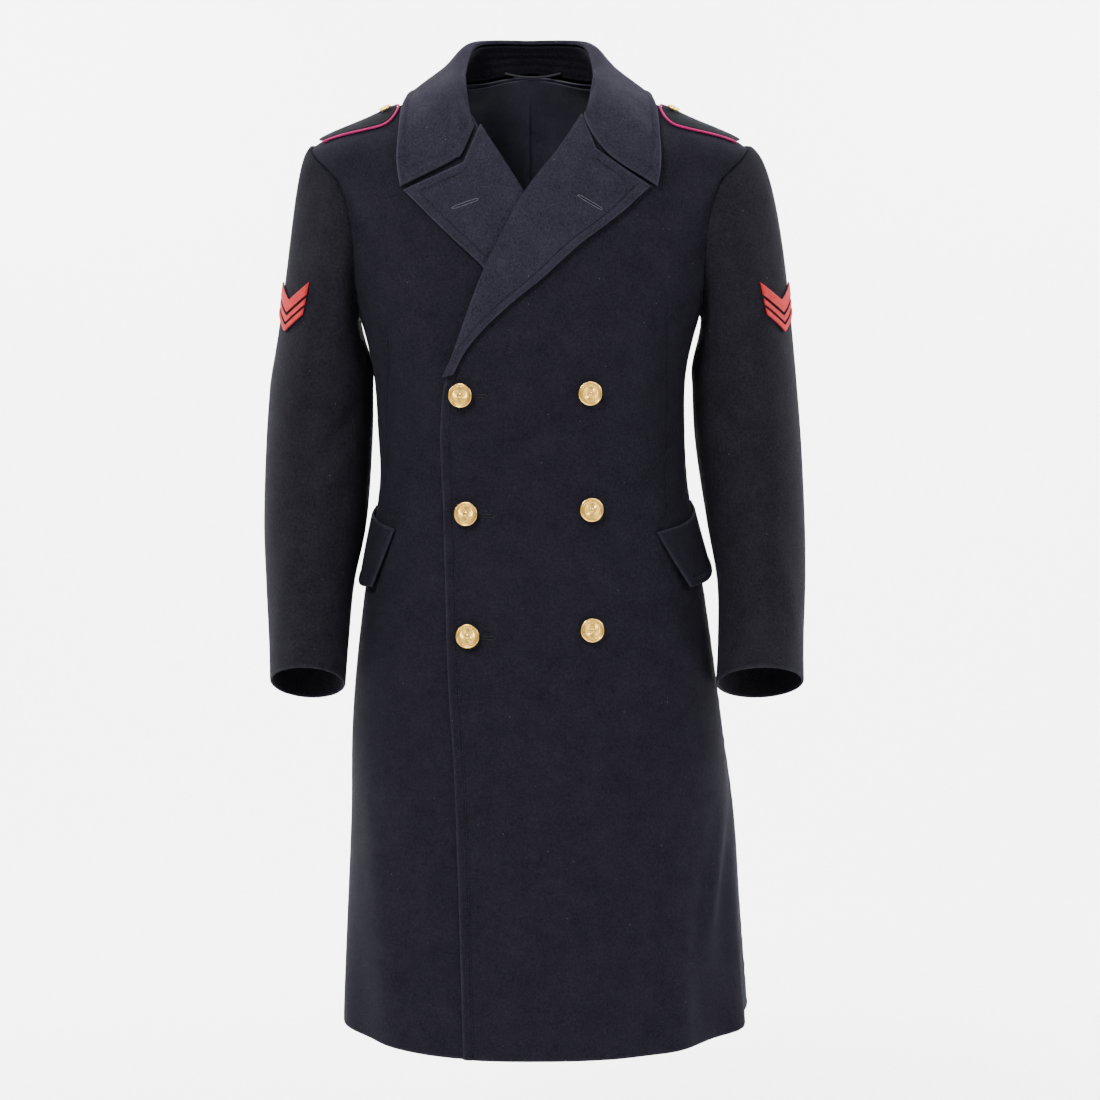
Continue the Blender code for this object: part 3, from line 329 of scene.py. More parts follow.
def edge_distances(grid):
    """Distance of each grid point from the grid's four sides, along the grid's own lines."""
    across = arc_lengths(grid, 1)
    along = arc_lengths(grid, 0)
    return {"start": across, "end": across[:, -1:] - across, "bottom": along, "top": along[-1:] - along}


def nearest(distances, sides):
    """Smallest distance to any of the named sides."""
    return np.min([distances[side] for side in sides], axis=0)


def rolled(outer, inner, seams, edges):
    """Round a shell's sides: near a side its half thickness shrinks as the height of a circle does."""
    middle = (outer + inner) / 2
    half = (outer - inner) / 2
    far = edge_distances(middle)
    size = np.ones(outer.shape[:2])
    for sides, roll in ((seams, SEAM_ROLL), (edges, EDGE_ROLL)):
        for side in sides:
            reach = np.clip(far[side] / roll, 0.01, 1)
            size = np.minimum(size, np.sqrt(1 - (1 - reach) ** 2))
    return middle + half * size[..., None], middle - half * size[..., None]


def spaced(stops, counts, crowd=CROWD):
    """Places between stops, one row of places per row: crowded beside each stop, even between."""
    stops = [np.atleast_1d(np.asarray(stop, float))[:, None] for stop in stops]
    parts = []
    for a, b, count in zip(stops[:-1], stops[1:], counts):
        scale = np.clip((b - a) / (2.6 * crowd[-1]), 1e-3, 1)
        left = a + crowd * scale
        right = b - crowd[:0:-1] * scale
        share = np.linspace(0, 1, count + 2)[1:-1]
        parts += [left, left[:, -1:] + (right[:, :1] - left[:, -1:]) * share, right]
    parts.append(stops[-1])
    rows = max(len(part) for part in parts)
    return np.concatenate([np.broadcast_to(part, (rows, part.shape[1])) for part in parts], 1)


def shares_at(grid, places):
    """Shares of the way across at which each row of an evenly drawn grid has gone the given lengths."""
    length = arc_lengths(grid, 1)
    rows, cols = length.shape
    step = np.arange(rows)[:, None] * 10.0
    share = np.broadcast_to(np.linspace(0, 1, cols), (rows, cols))
    found = np.interp((np.minimum(places, length[:, -1:]) + step).ravel(), (length + step).ravel(), share.ravel())
    return found.reshape(places.shape)


# Materials

def node(tree, kind, inputs=None, **settings):
    """A shader node with its settings; each input is a value, or another node's output to link."""
    made = tree.nodes.new(kind)
    for key, value in settings.items():
        setattr(made, key, value)
    for key, value in (inputs or {}).items():
        if isinstance(value, bpy.types.NodeSocket):
            tree.links.new(value, made.inputs[key])
        else:
            made.inputs[key].default_value = value
    return made


def calc(tree, operation, a, b=0.0, c=0.0):
    """Output of a maths node."""
    made = node(tree, "ShaderNodeMath", {0: a, 1: b, 2: c}, operation=operation)
    return made.outputs[0]


def blend_colour(tree, mode, factor, a, b):
    """Output of a colour mixing node."""
    made = node(tree, "ShaderNodeMix", {0: factor, 6: a, 7: b}, data_type="RGBA", blend_type=mode)
    return made.outputs[2]


def start_group(name, inputs, outputs):
    """An empty shader node group with its named inputs and outputs."""
    tree = bpy.data.node_groups.new(name, "ShaderNodeTree")
    for label, kind, value in inputs:
        socket = tree.interface.new_socket(label, in_out="INPUT", socket_type=kind)
        socket.default_value = value
    for label, kind in outputs:
        tree.interface.new_socket(label, in_out="OUTPUT", socket_type=kind)
    return tree, tree.nodes.new("NodeGroupInput"), tree.nodes.new("NodeGroupOutput")


def felted_wool_group():
    """Felted wool: a cloudy nap, matted fibres, a faint twill under them, and pale specks of lint."""
    tree, given, out = start_group(
        "felted_wool",
        [("Colour", "NodeSocketColor", (0.02, 0.02, 0.03, 1)), ("Cloud", "NodeSocketFloat", 0.35),
         ("Fibre", "NodeSocketFloat", 0.8), ("Lint", "NodeSocketFloat", 0.5)],
        [("Color", "NodeSocketColor"), ("Roughness", "NodeSocketFloat"), ("Height", "NodeSocketFloat")])
    place = node(tree, "ShaderNodeTexCoord").outputs["Object"]
    cloud = node(tree, "ShaderNodeTexNoise", {"Vector": place, "Scale": 38, "Detail": 5, "Roughness": 0.62})
    matted = node(tree, "ShaderNodeTexNoise", {"Vector": place, "Scale": 430, "Detail": 3, "Roughness": 0.6})
    fibre = node(tree, "ShaderNodeTexNoise",
                 {"Vector": place, "Scale": 1300, "Detail": 3, "Roughness": 0.7, "Distortion": 0.6})
    line = node(tree, "ShaderNodeUVMap", uv_map="cloth").outputs[0]
    parts = node(tree, "ShaderNodeSeparateXYZ", {0: line})
    slant = calc(tree, "MULTIPLY", calc(tree, "ADD", parts.outputs[0], parts.outputs[1]), 2 * math.pi / 0.0030)
    twill = calc(tree, "MULTIPLY", calc(tree, "SINE", slant), 0.5)
    cloud_part = calc(tree, "MULTIPLY", calc(tree, "SUBTRACT", cloud.outputs[0], 0.5), given.outputs["Cloud"])
    matted_part = calc(tree, "SUBTRACT", matted.outputs[0], 0.5)
    fibre_part = calc(tree, "MULTIPLY", calc(tree, "SUBTRACT", fibre.outputs[0], 0.5), given.outputs["Fibre"])
    tone = calc(tree, "MULTIPLY_ADD", cloud_part, 2.2, 1.0)
    tone = calc(tree, "MULTIPLY_ADD", matted_part, 1.8, tone)
    tone = calc(tree, "MULTIPLY_ADD", fibre_part, 2.2, tone)
    tone = calc(tree, "MULTIPLY_ADD", twill, 0.10, tone)
    tone = calc(tree, "MAXIMUM", tone, 0.25)
    grey = node(tree, "ShaderNodeCombineColor", {0: tone, 1: tone, 2: tone}).outputs[0]
    colour = blend_colour(tree, "MULTIPLY", 1.0, given.outputs["Colour"], grey)
    specks = node(tree, "ShaderNodeTexVoronoi", {"Vector": place, "Scale": 150, "Randomness": 1.0})
    small = node(tree, "ShaderNodeMapRange",
                 {0: specks.outputs["Distance"], 1: 0.055, 2: 0.085, 3: 1.0, 4: 0.0}).outputs[0]
    chosen = node(tree, "ShaderNodeSeparateColor", {0: specks.outputs["Color"]})
    rare = calc(tree, "GREATER_THAN", chosen.outputs[0], 0.94)
    lint = calc(tree, "MULTIPLY", calc(tree, "MULTIPLY", small, rare), given.outputs["Lint"])
    colour = blend_colour(tree, "MIX", lint, colour, (0.24, 0.24, 0.28, 1))
    height = calc(tree, "MULTIPLY_ADD", fibre.outputs[0], 0.8, calc(tree, "MULTIPLY", matted.outputs[0], 0.7))
    height = calc(tree, "MULTIPLY_ADD", twill, 0.12, height)
    rough = calc(tree, "MULTIPLY_ADD", matted.outputs[0], 0.12, 0.84)
    for label, value in (("Color", colour), ("Roughness", rough), ("Height", height)):
        tree.links.new(value, out.inputs[label])
    return tree


def brushed_edge_group():
    """Wear along an edge: the stored distance from the edge, broken up by noise, lightens the colour."""
    tree, given, out = start_group(
        "brushed_edge",
        [("Colour", "NodeSocketColor", (0.02, 0.02, 0.03, 1)), ("Amount", "NodeSocketFloat", 0.4)],
        [("Color", "NodeSocketColor")])
    away = node(tree, "ShaderNodeAttribute", attribute_name="edge").outputs["Fac"]
    place = node(tree, "ShaderNodeTexCoord").outputs["Object"]
    patchy = node(tree, "ShaderNodeTexNoise", {"Vector": place, "Scale": 120, "Detail": 4, "Roughness": 0.65})
    near = node(tree, "ShaderNodeMapRange", {0: away, 1: 0.0004, 2: 0.0045, 3: 1.0, 4: 0.0}).outputs[0]
    worn = calc(tree, "MULTIPLY", calc(tree, "MULTIPLY", near, patchy.outputs[0]), given.outputs["Amount"])
    lighter = blend_colour(tree, "MIX", worn, given.outputs["Colour"], (0.07, 0.065, 0.09, 1))
    tree.links.new(lighter, out.inputs["Color"])
    return tree


def satin_group():
    """Lining satin: fine lengthwise ribs, slight clouds and a few rubbed streaks."""
    tree, given, out = start_group(
        "satin_weave", [("Colour", "NodeSocketColor", (0.02, 0.02, 0.04, 1))],
        [("Color", "NodeSocketColor"), ("Roughness", "NodeSocketFloat"), ("Height", "NodeSocketFloat")])
    place = node(tree, "ShaderNodeTexCoord").outputs["Object"]
    line = node(tree, "ShaderNodeUVMap", uv_map="cloth").outputs[0]
    parts = node(tree, "ShaderNodeSeparateXYZ", {0: line})
    rib = calc(tree, "SINE", calc(tree, "MULTIPLY", parts.outputs[0], 2 * math.pi / 0.0008))
    weft = calc(tree, "SINE", calc(tree, "MULTIPLY", parts.outputs[1], 2 * math.pi / 0.0011))
    cloud = node(tree, "ShaderNodeTexNoise", {"Vector": place, "Scale": 45, "Detail": 4, "Roughness": 0.6})
    streak_place = node(tree, "ShaderNodeMapping", {"Vector": place, "Scale": (1, 1, 0.12)}).outputs[0]
    streak = node(tree, "ShaderNodeTexNoise", {"Vector": streak_place, "Scale": 600, "Detail": 2})
    tone = calc(tree, "MULTIPLY_ADD", calc(tree, "SUBTRACT", cloud.outputs[0], 0.5), 0.9, 1.0)
    tone = calc(tree, "MULTIPLY_ADD", calc(tree, "SUBTRACT", streak.outputs[0], 0.5), 0.6, tone)
    tone = calc(tree, "MULTIPLY_ADD", rib, 0.06, tone)
    grey = node(tree, "ShaderNodeCombineColor", {0: tone, 1: tone, 2: tone}).outputs[0]
    colour = blend_colour(tree, "MULTIPLY", 1.0, given.outputs["Colour"], grey)
    height = calc(tree, "MULTIPLY_ADD", rib, 0.3, calc(tree, "MULTIPLY", weft, 0.2))
    height = calc(tree, "MULTIPLY_ADD", streak.outputs[0], 0.6, height)
    rough = calc(tree, "MULTIPLY_ADD", cloud.outputs[0], 0.16, 0.40)
    for label, value in (("Color", colour), ("Roughness", rough), ("Height", height)):
        tree.links.new(value, out.inputs[label])
    return tree


def gilt_wear_and_shade_group():
    """Gilt metal: dull where it is tarnished in its hollows and where painted shade lies on its underside, lower sides
    and between its rays; rubbed bright on its rim, with hair scratches.
    """
    tree, given, out = start_group(
        "gilt_wear_and_shade", [("Bright", "NodeSocketColor", (0.8, 0.6, 0.3, 1)), ("Dull", "NodeSocketColor", (0.3, 0.2, 0.1, 1))],
        [("Color", "NodeSocketColor"), ("Roughness", "NodeSocketFloat"), ("Height", "NodeSocketFloat")])
    place = node(tree, "ShaderNodeTexCoord").outputs["Object"]
    # The stored field marks real tarnish in the hollows and painted shade on the underside, lower sides and ground
    # between the rays.
    tarnish_and_shade = node(tree, "ShaderNodeAttribute", attribute_name="tarnish_and_shade").outputs["Fac"]
    stain = node(tree, "ShaderNodeTexNoise", {"Vector": place, "Scale": 260, "Detail": 5, "Roughness": 0.65})
    hair_place = node(tree, "ShaderNodeMapping", {"Vector": place, "Rotation": (0, 0.6, 0), "Scale": (1, 1, 0.08)})
    hair = node(tree, "ShaderNodeTexNoise", {"Vector": hair_place.outputs[0], "Scale": 3200, "Detail": 2})
    dull = calc(tree, "MULTIPLY_ADD", stain.outputs[0], 0.7, calc(tree, "MULTIPLY_ADD", tarnish_and_shade, 0.95, -0.42))
    dull = node(tree, "ShaderNodeClamp", {0: dull}).outputs[0]
    colour = blend_colour(tree, "MIX", dull, given.outputs["Bright"], given.outputs["Dull"])
    rough = calc(tree, "MULTIPLY_ADD", dull, 0.24, 0.20)
    rough = calc(tree, "MULTIPLY_ADD", hair.outputs[0], 0.08, rough)
    height = calc(tree, "MULTIPLY_ADD", hair.outputs[0], 0.4, stain.outputs[0])
    for label, value in (("Color", colour), ("Roughness", rough), ("Height", height)):
        tree.links.new(value, out.inputs[label])
    return tree


def braid_group():
    """Braid or twisted cord: slanted ribs along its run from the UV map, with fuzz and grime."""
    tree, given, out = start_group(
        "braid_ribs",
        [("Colour", "NodeSocketColor", (0.5, 0.05, 0.05, 1)), ("Pitch", "NodeSocketFloat", 0.0016),
         ("Slant", "NodeSocketFloat", 1.0), ("Grime", "NodeSocketFloat", 0.4)],
        [("Color", "NodeSocketColor"), ("Roughness", "NodeSocketFloat"), ("Height", "NodeSocketFloat")])
    line = node(tree, "ShaderNodeUVMap", uv_map="cloth").outputs[0]
    parts = node(tree, "ShaderNodeSeparateXYZ", {0: line})
    run = calc(tree, "MULTIPLY_ADD", parts.outputs[1], given.outputs["Slant"], parts.outputs[0])
    turn = calc(tree, "MULTIPLY", calc(tree, "DIVIDE", run, given.outputs["Pitch"]), 2 * math.pi)
    rib = calc(tree, "MULTIPLY_ADD", calc(tree, "SINE", turn), 0.5, 0.5)
    place = node(tree, "ShaderNodeTexCoord").outputs["Object"]
    fuzz = node(tree, "ShaderNodeTexNoise", {"Vector": place, "Scale": 1500, "Detail": 3, "Roughness": 0.7})
    grime = node(tree, "ShaderNodeTexNoise", {"Vector": place, "Scale": 170, "Detail": 4, "Roughness": 0.6})
    tone = calc(tree, "MULTIPLY_ADD", rib, 0.5, 0.62)
    tone = calc(tree, "MULTIPLY_ADD", calc(tree, "SUBTRACT", fuzz.outputs[0], 0.5), 0.8, tone)
    dirt = calc(tree, "MULTIPLY", calc(tree, "SUBTRACT", grime.outputs[0], 0.5), given.outputs["Grime"])
    tone = calc(tree, "MULTIPLY_ADD", dirt, -1.8, tone)
    grey = node(tree, "ShaderNodeCombineColor", {0: tone, 1: tone, 2: tone}).outputs[0]
    colour = blend_colour(tree, "MULTIPLY", 1.0, given.outputs["Colour"], grey)
    rough = calc(tree, "MULTIPLY_ADD", fuzz.outputs[0], 0.2, 0.55)
    height = calc(tree, "MULTIPLY_ADD", fuzz.outputs[0], 0.3, rib)
    for label, value in (("Color", colour), ("Roughness", rough), ("Height", height)):
        tree.links.new(value, out.inputs[label])
    return tree


FELTED = felted_wool_group()
BRUSHED = brushed_edge_group()
SATIN = satin_group()
GILT_WEAR_AND_SHADE = gilt_wear_and_shade_group()
RIBBED = braid_group()


def finished(name, group, inputs, bump, depth_m, fixed, edge=None):
    """A Principled material fed by a node group, with its constant values set on the shader itself."""
    material = bpy.data.materials.new(name)
    material.use_nodes = True
    tree = material.node_tree
    shader = tree.nodes["Principled BSDF"]
    for key, value in fixed.items():
        shader.inputs[key].default_value = value
    pattern = node(tree, "ShaderNodeGroup", inputs=None)
    pattern.node_tree = group
    for key, value in inputs.items():
        pattern.inputs[key].default_value = value
    colour = pattern.outputs["Color"]
    if edge is not None:
        worn = node(tree, "ShaderNodeGroup", inputs=None)
        worn.node_tree = BRUSHED
        worn.inputs["Amount"].default_value = edge
        tree.links.new(colour, worn.inputs["Colour"])
        colour = worn.outputs["Color"]
    tree.links.new(colour, shader.inputs["Base Color"])
    tree.links.new(pattern.outputs["Roughness"], shader.inputs["Roughness"])
    bumps = node(tree, "ShaderNodeBump", {"Strength": bump, "Distance": depth_m, "Height": pattern.outputs["Height"]})
    tree.links.new(bumps.outputs[0], shader.inputs["Normal"])
    return material


def wool(name, colour, lint=0.22, edge=0.2, cloud=0.35, sheen=0.015):
    """Heavy felted wool of one tone."""
    return finished(name, FELTED, {"Colour": (*colour, 1), "Lint": lint, "Cloud": cloud, "Fibre": 0.8}, 0.75, 0.0006,
                    {"Sheen Weight": sheen, "Sheen Roughness": 0.45, "Sheen Tint": (0.52, 0.54, 0.72, 1),
                     "Specular IOR Level": 0.03}, edge)


def braid(name, colour, pitch, slant, grime, sheen=0.03):
    """Braid, piping or thread with slanted ribs."""
    return finished(name, RIBBED, {"Colour": (*colour, 1), "Pitch": pitch, "Slant": slant, "Grime": grime}, 0.8, 0.0003,
                    {"Sheen Weight": sheen, "Sheen Roughness": 0.5, "Specular IOR Level": 0.1})


BODY_TONE = (0.0074, 0.0068, 0.0105)
SLEEVE_TONE = (0.0076, 0.0072, 0.0098)
# The lapel and collar tone is the body's wool painted lighter: painted light on the parts that face the lamps.
LAPEL_LIT_TONE = (0.0125, 0.0115, 0.0180)
# The stand tone is the body's wool painted darker: painted shade under the collar's roll.
STAND_SHADED_TONE = (0.0050, 0.0048, 0.0070)
FELT_TONE = (0.0042, 0.0052, 0.0056)

WOOL_BODY = wool("wool_body", BODY_TONE)
WOOL_SLEEVE = wool("wool_sleeve", SLEEVE_TONE)
# Lapel and collar wool: painted light, a lighter copy of the body's wool.
WOOL_LAPEL_LIT = wool("wool_lapel_painted_light", LAPEL_LIT_TONE, lint=0.3, edge=0.35)
# Stand wool: painted shade, a darker copy of the body's wool.
WOOL_STAND_SHADED = wool("wool_stand_painted_shade", STAND_SHADED_TONE, edge=0.1)
FELT = wool("strap_felt", FELT_TONE, lint=0.2, edge=0.15, cloud=0.2, sheen=0.04)
SATIN_LINING = finished("lining_satin", SATIN, {"Colour": (0.0160, 0.0158, 0.0250, 1)}, 0.35, 0.0003,
                        {"Sheen Weight": 0.02, "Specular IOR Level": 0.22})
GILT = finished("gilt_metal", GILT_WEAR_AND_SHADE, {"Bright": (0.88, 0.56, 0.12, 1), "Dull": (0.26, 0.115, 0.012, 1)}, 0.25, 0.0001,
                {"Metallic": 1.0})
CRIMSON = braid("crimson_piping", (0.29, 0.006, 0.085), 0.0019, 0.5, 0.3)
RED_BRAID = braid("red_braid", (0.36, 0.006, 0.009), 0.0015, 1.0, 0.5)
THREAD = braid("dark_thread", (0.0105, 0.0100, 0.0150), 0.0008, 1.0, 0.2)
PALE_THREAD = braid("pale_thread", (0.085, 0.080, 0.105), 0.0008, 1.0, 0.3)
LOOP_CORD = braid("loop_cord", (0.024, 0.023, 0.028), 0.0014, 1.0, 0.3)


# Meshes

def make_mesh(name, points, faces, uv, fields, materials, slots=None):
    """An object at the origin from arrays: points, four-sided faces, UV per point and stored fields."""
    mesh = bpy.data.meshes.new(name)
    mesh.vertices.add(len(points))
    mesh.vertices.foreach_set("co", points.astype(np.float32).ravel())
    mesh.loops.add(faces.size)
    mesh.loops.foreach_set("vertex_index", faces.astype(np.int32).ravel())
    mesh.polygons.add(len(faces))
    mesh.polygons.foreach_set("loop_start", np.arange(len(faces), dtype=np.int32) * faces.shape[1])
    if slots is not None:
        mesh.polygons.foreach_set("material_index", slots.astype(np.int32))
    mesh.update(calc_edges=True)
    mesh.validate()
    layer = mesh.uv_layers.new(name="cloth")
    layer.data.foreach_set("uv", uv[faces.ravel()].astype(np.float32).ravel())
    for label, values in fields.items():
        field = mesh.attributes.new(label, "FLOAT", "POINT")
        field.data.foreach_set("value", values.astype(np.float32))
    mesh.shade_smooth()
    for material in materials:
        mesh.materials.append(material)
    piece = bpy.data.objects.new(name, mesh)
    bpy.context.scene.collection.objects.link(piece)
    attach(piece, "root")
    return piece


def shell(name, outer, inner, seams, edges, materials, facing=None):
    """A closed cloth shell from its outer and inner grids, with rounded sides and UVs in metres.

    Where facing is given, it is a grid of truths: the inner side is the first material there, else the second.
    """
    outer, inner = rolled(outer, inner, seams, edges)
    rows, cols = outer.shape[:2]
    count = rows * cols
    index = np.arange(count).reshape(rows, cols)
    quads = np.stack([index[:-1, :-1], index[:-1, 1:], index[1:, 1:], index[1:, :-1]], -1).reshape(-1, 4)
    border = np.concatenate([index[0, :-1], index[:-1, -1], index[-1, :0:-1], index[:0:-1, 0]])
    ahead = np.roll(border, -1)
    rim = np.stack([ahead, border, border + count, ahead + count], -1)
    faces = np.concatenate([quads, quads[:, ::-1] + count, rim])
    middle = (rows // 2, cols // 2)
    across = outer[middle[0], middle[1] + 1] - outer[middle]
    along = outer[middle[0] + 1, middle[1]] - outer[middle]
    if np.dot(np.cross(across, along), outer[middle] - inner[middle]) < 0:
        faces = faces[:, ::-1]
    lengths = edge_distances(outer)
    centre = lengths["start"] - lengths["start"][:, -1:] / 2
    uv = np.stack([centre, outer[..., 2]], -1).reshape(-1, 2)
    far = nearest(lengths, edges) if edges else np.full((rows, cols), 0.05)
    fields = {"edge": np.tile(np.minimum(far, 0.05).ravel(), 2)}
    slots = None
    if facing is not None:
        turned = np.where(facing[:-1, :-1].ravel(), 0, 1)
        slots = np.concatenate([np.zeros(len(quads), int), turned, np.zeros(len(rim), int)])
    return make_mesh(name, np.concatenate([outer.reshape(-1, 3), inner.reshape(-1, 3)]), faces,
                     np.tile(uv, (2, 1)), fields, materials, slots)


def stitch_relief(far, sides):
    """Height beside a topstitched side: a puffed band, then the groove of the stitches."""
    away = nearest(far, sides)
    band = np.sin(math.pi * np.clip(away / STITCH_INSET, 0, 1)) * EDGE_PUFF
    return band - STITCH_DEPTH * bell(away - STITCH_INSET, STITCH_WIDTH)


def line_across(grid, far, inset):
    """Points of a grid's rows at a distance from one side, by linear reading between columns."""
    near = far < inset
    first = np.argmax(near, axis=1) if near[0, -1] else None
    index = np.clip(first, 1, grid.shape[1] - 1)
    row = np.arange(len(grid))
    a, b = far[row, index - 1], far[row, index]
    share = np.clip((a - inset) / np.maximum(a - b, 1e-9), 0, 1)[:, None]
    return grid[row, index - 1] * (1 - share) + grid[row, index] * share


STITCH_RINGS = 5
STITCH_SIDES = 6


def stitches(name, paths, length, gap, radius, material, arch=0.00025):
    """Rows of sewn stitches: each is a spindle along the path that rises in its middle and dips at its ends.

    paths are pairs of points and outward normals; all stitches are made as one array and joined.
    """
    all_points, all_uv = [], []
    for points, normals in paths:
        run = np.concatenate([[0], np.cumsum(np.linalg.norm(np.diff(points, axis=0), axis=1))])
        starts = np.arange(gap, run[-1] - length, length + gap)
        share = np.linspace(0, 1, STITCH_RINGS)
        at = starts[:, None] + share * length
        centre = np.stack([np.interp(at, run, points[:, c]) for c in range(3)], -1)
        up = unit(np.stack([np.interp(at, run, normals[:, c]) for c in range(3)], -1))
        rise = np.sin(math.pi * share)[None, :, None]
        centre = centre + up * (arch * (2 * rise - 1))
        ahead = unit(centre[:, -1] - centre[:, 0])[:, None]
        side = unit(np.cross(np.broadcast_to(ahead, up.shape), up))
        turn = np.linspace(0, 2 * math.pi, STITCH_SIDES, endpoint=False)
        size = radius * (0.35 + 0.65 * np.sin(math.pi * np.clip(share, 0.04, 0.96)) ** 0.5)[None, :, None, None]
        ring = (side[:, :, None] * np.cos(turn)[None, None, :, None] + up[:, :, None] * np.sin(turn)[None, None, :, None])
        all_points.append((centre[:, :, None] + ring * size).reshape(-1, 3))
        spot = np.stack(np.broadcast_arrays(turn[None, None] * radius, at[:, :, None]), -1)
        all_uv.append(spot.reshape(-1, 2))
    points = np.concatenate(all_points)
    block = STITCH_RINGS * STITCH_SIDES
    ring = np.arange(STITCH_SIDES)
    step = np.arange(STITCH_RINGS - 1)[:, None] * STITCH_SIDES
    ahead = (ring + 1) % STITCH_SIDES
    walls = np.stack([step + ring, step + ahead, step + ahead + STITCH_SIDES, step + ring + STITCH_SIDES], -1)
    caps = np.array([[3, 2, 1, 0], [5, 4, 3, 0], [0, 1, 2, 3], [0, 3, 4, 5]])
    caps[2:] += block - STITCH_SIDES
    faces = np.concatenate([walls.reshape(-1, 4), caps])
    faces = (faces[None] + (np.arange(len(points) // block) * block)[:, None, None]).reshape(-1, 4)[:, ::-1]
    return make_mesh(name, points, faces, np.concatenate(all_uv), {}, [material])


def cord_mesh(name, path, normals, radius, material, strands=3, lay=0.0045, ridge=0.10, sides=14, steps=9):
    """A twisted cord: round a path, with strands as ridges that turn as they run, closed at both ends."""
    run = np.concatenate([[0], np.cumsum(np.linalg.norm(np.diff(path, axis=0), axis=1))])
    count = max(int(run[-1] / (lay / steps)), 12)
    at = np.linspace(0, run[-1], count)
    centre = np.stack([np.interp(at, run, path[:, c]) for c in range(3)], -1)
    kernel = np.array([0.25, 0.5, 0.25])
    for _ in range(6):
        inside = np.stack([np.convolve(centre[:, c], kernel, "valid") for c in range(3)], -1)
        centre[1:-1] = inside
    up = unit(np.stack([np.interp(at, run, normals[:, c]) for c in range(3)], -1))
    ahead = unit(np.gradient(centre, axis=0))
    side = unit(np.cross(ahead, up))
    up = np.cross(side, ahead)
    turn = np.linspace(0, 2 * math.pi, sides, endpoint=False)
    twist = strands * turn[None] + 2 * math.pi * at[:, None] / lay * strands / 3
    close = np.sqrt(np.clip(1 - (1 - np.clip(np.minimum(at, at[-1] - at) / radius, 0.02, 1)) ** 2, 0, 1))
    size = radius * close[:, None] * (1 + ridge * (np.abs(np.cos(twist / 2)) - 0.6))
    points = centre[:, None] + size[..., None] * (side[:, None] * np.cos(turn)[None, :, None]
                                                   + up[:, None] * np.sin(turn)[None, :, None])
    rows = np.arange(count - 1)[:, None] * sides
    ring = np.arange(sides)
    ahead_ring = (ring + 1) % sides
    faces = np.stack([rows + ring, rows + ahead_ring, rows + ahead_ring + sides, rows + ring + sides], -1)
    half = sides // 2
    fan = np.arange(half - 1)
    cap = np.stack([fan, fan + 1, sides - 2 - fan, sides - 1 - fan], -1)
    faces = np.concatenate([faces.reshape(-1, 4), cap[:, ::-1], cap + (count - 1) * sides])
    uv = np.stack(np.broadcast_arrays(turn[None] * radius, at[:, None]), -1).reshape(-1, 2)
    return make_mesh(name, points.reshape(-1, 3), faces[:, ::-1], uv, {}, [material])


# Body panels

ARMHOLE_TOP = -0.080
ARMHOLE_BOTTOM = -0.262
ARMHOLE_REACH = 0.068
ARMHOLE_STEPS = 12
SEAM_HEIGHTS = np.array([-1.030, -0.970, -0.910, -0.850, -0.790, -0.730, -0.670, -0.610, -0.555, -0.500,
                         -0.450, -0.400, -0.350, -0.305])
SEAM_ROWS = len(SEAM_HEIGHTS)
LAST_ROW = SEAM_ROWS + ARMHOLE_STEPS
HEM_RISE = 0.012
HEM_FROM = -0.90
HEM_FULL = -1.035

# Neckline from the shoulder, columns: angle from the side, height
NECK_FRONT = np.array([(0.0, -0.0120), (24.3, -0.0142), (51.0, -0.0215), (63.0, -0.0350), (74.6, -0.0525)])
NECK_BACK = np.array([(0.0, -0.0120), (25.0, -0.0115), (48.0, -0.0085), (70.0, -0.0030), (90.0, 0.0)])

# Inner edges of the fronts from hem to neckline, columns: height, x
EDGE_LEFT = np.array([
    (-1.042, -0.0687), (-0.907, -0.0727), (-0.8045, -0.0757), (-0.7274, -0.0787), (-0.651, -0.0838),
    (-0.5486, -0.0868), (-0.462, -0.0890), (-0.371, -0.0892), (-0.325, -0.0835), (-0.301, -0.0733),
    (-0.278, -0.0649), (-0.245, -0.0534), (-0.2134, -0.0410), (-0.168, -0.0183), (-0.1415, -0.0039),
    (-0.1156, 0.0145), (-0.0885, 0.0345), (-0.0525, 0.0576)])
EDGE_RIGHT = np.array([
    (-1.042, 0.0700), (-0.8045, 0.0760), (-0.651, 0.0800), (-0.462, 0.0850), (-0.371, 0.0860),
    (-0.330, 0.0830), (-0.278, 0.0640), (-0.2134, 0.0330), (-0.1415, -0.0039), (-0.0999, -0.0300),
    (-0.0631, -0.0532), (-0.0500, -0.0600)])
LAP_LOW = 0.0034
LAP_HIGH = 0.0086
LAP_TURN = (-0.470, -0.340)
LAP_FULL = 0.015
LAP_END = 0.070

# Darts, columns: height, x
DART_LEFT = np.array([(-0.490, 0.1450), (-0.360, 0.1450), (-0.230, 0.1450)])
DART_RIGHT = np.array([(-0.490, -0.1558), (-0.380, -0.1520), (-0.270, -0.1474)])
DART_DEPTH = 0.0013
DART_WIDTH = 0.0011
FACING_WIDTH = 0.075
HEM_WIDTH = 0.045
ROWS_A_STEP = 8


def armhole(turn):
    """Height and distance from the middle plane at a turn: 0 at the armpit, pi at the shoulder."""
    middle = (ARMHOLE_TOP + ARMHOLE_BOTTOM) / 2
    return middle - (ARMHOLE_TOP - middle) * np.cos(turn), ARMHOLE_REACH * np.sin(turn)


def left_lift(x, z):
    """How far the left front stands out where it laps over the right front and its lapel."""
    over = 1 - ease(x - smooth(EDGE_RIGHT[:, 0], EDGE_RIGHT[:, 1], z), LAP_FULL, LAP_END)
    return over * (LAP_LOW + (LAP_HIGH - LAP_LOW) * ease(z, *LAP_TURN))


def panel_rows():
    """Row places from hem, 0, to shoulder: even steps, crowded at both ends."""
    even = np.linspace(0, LAST_ROW, LAST_ROW * ROWS_A_STEP + 1)
    low = CROWD / 0.060
    high = LAST_ROW - CROWD / 0.018
    return np.unique(np.concatenate([even, low, high]))


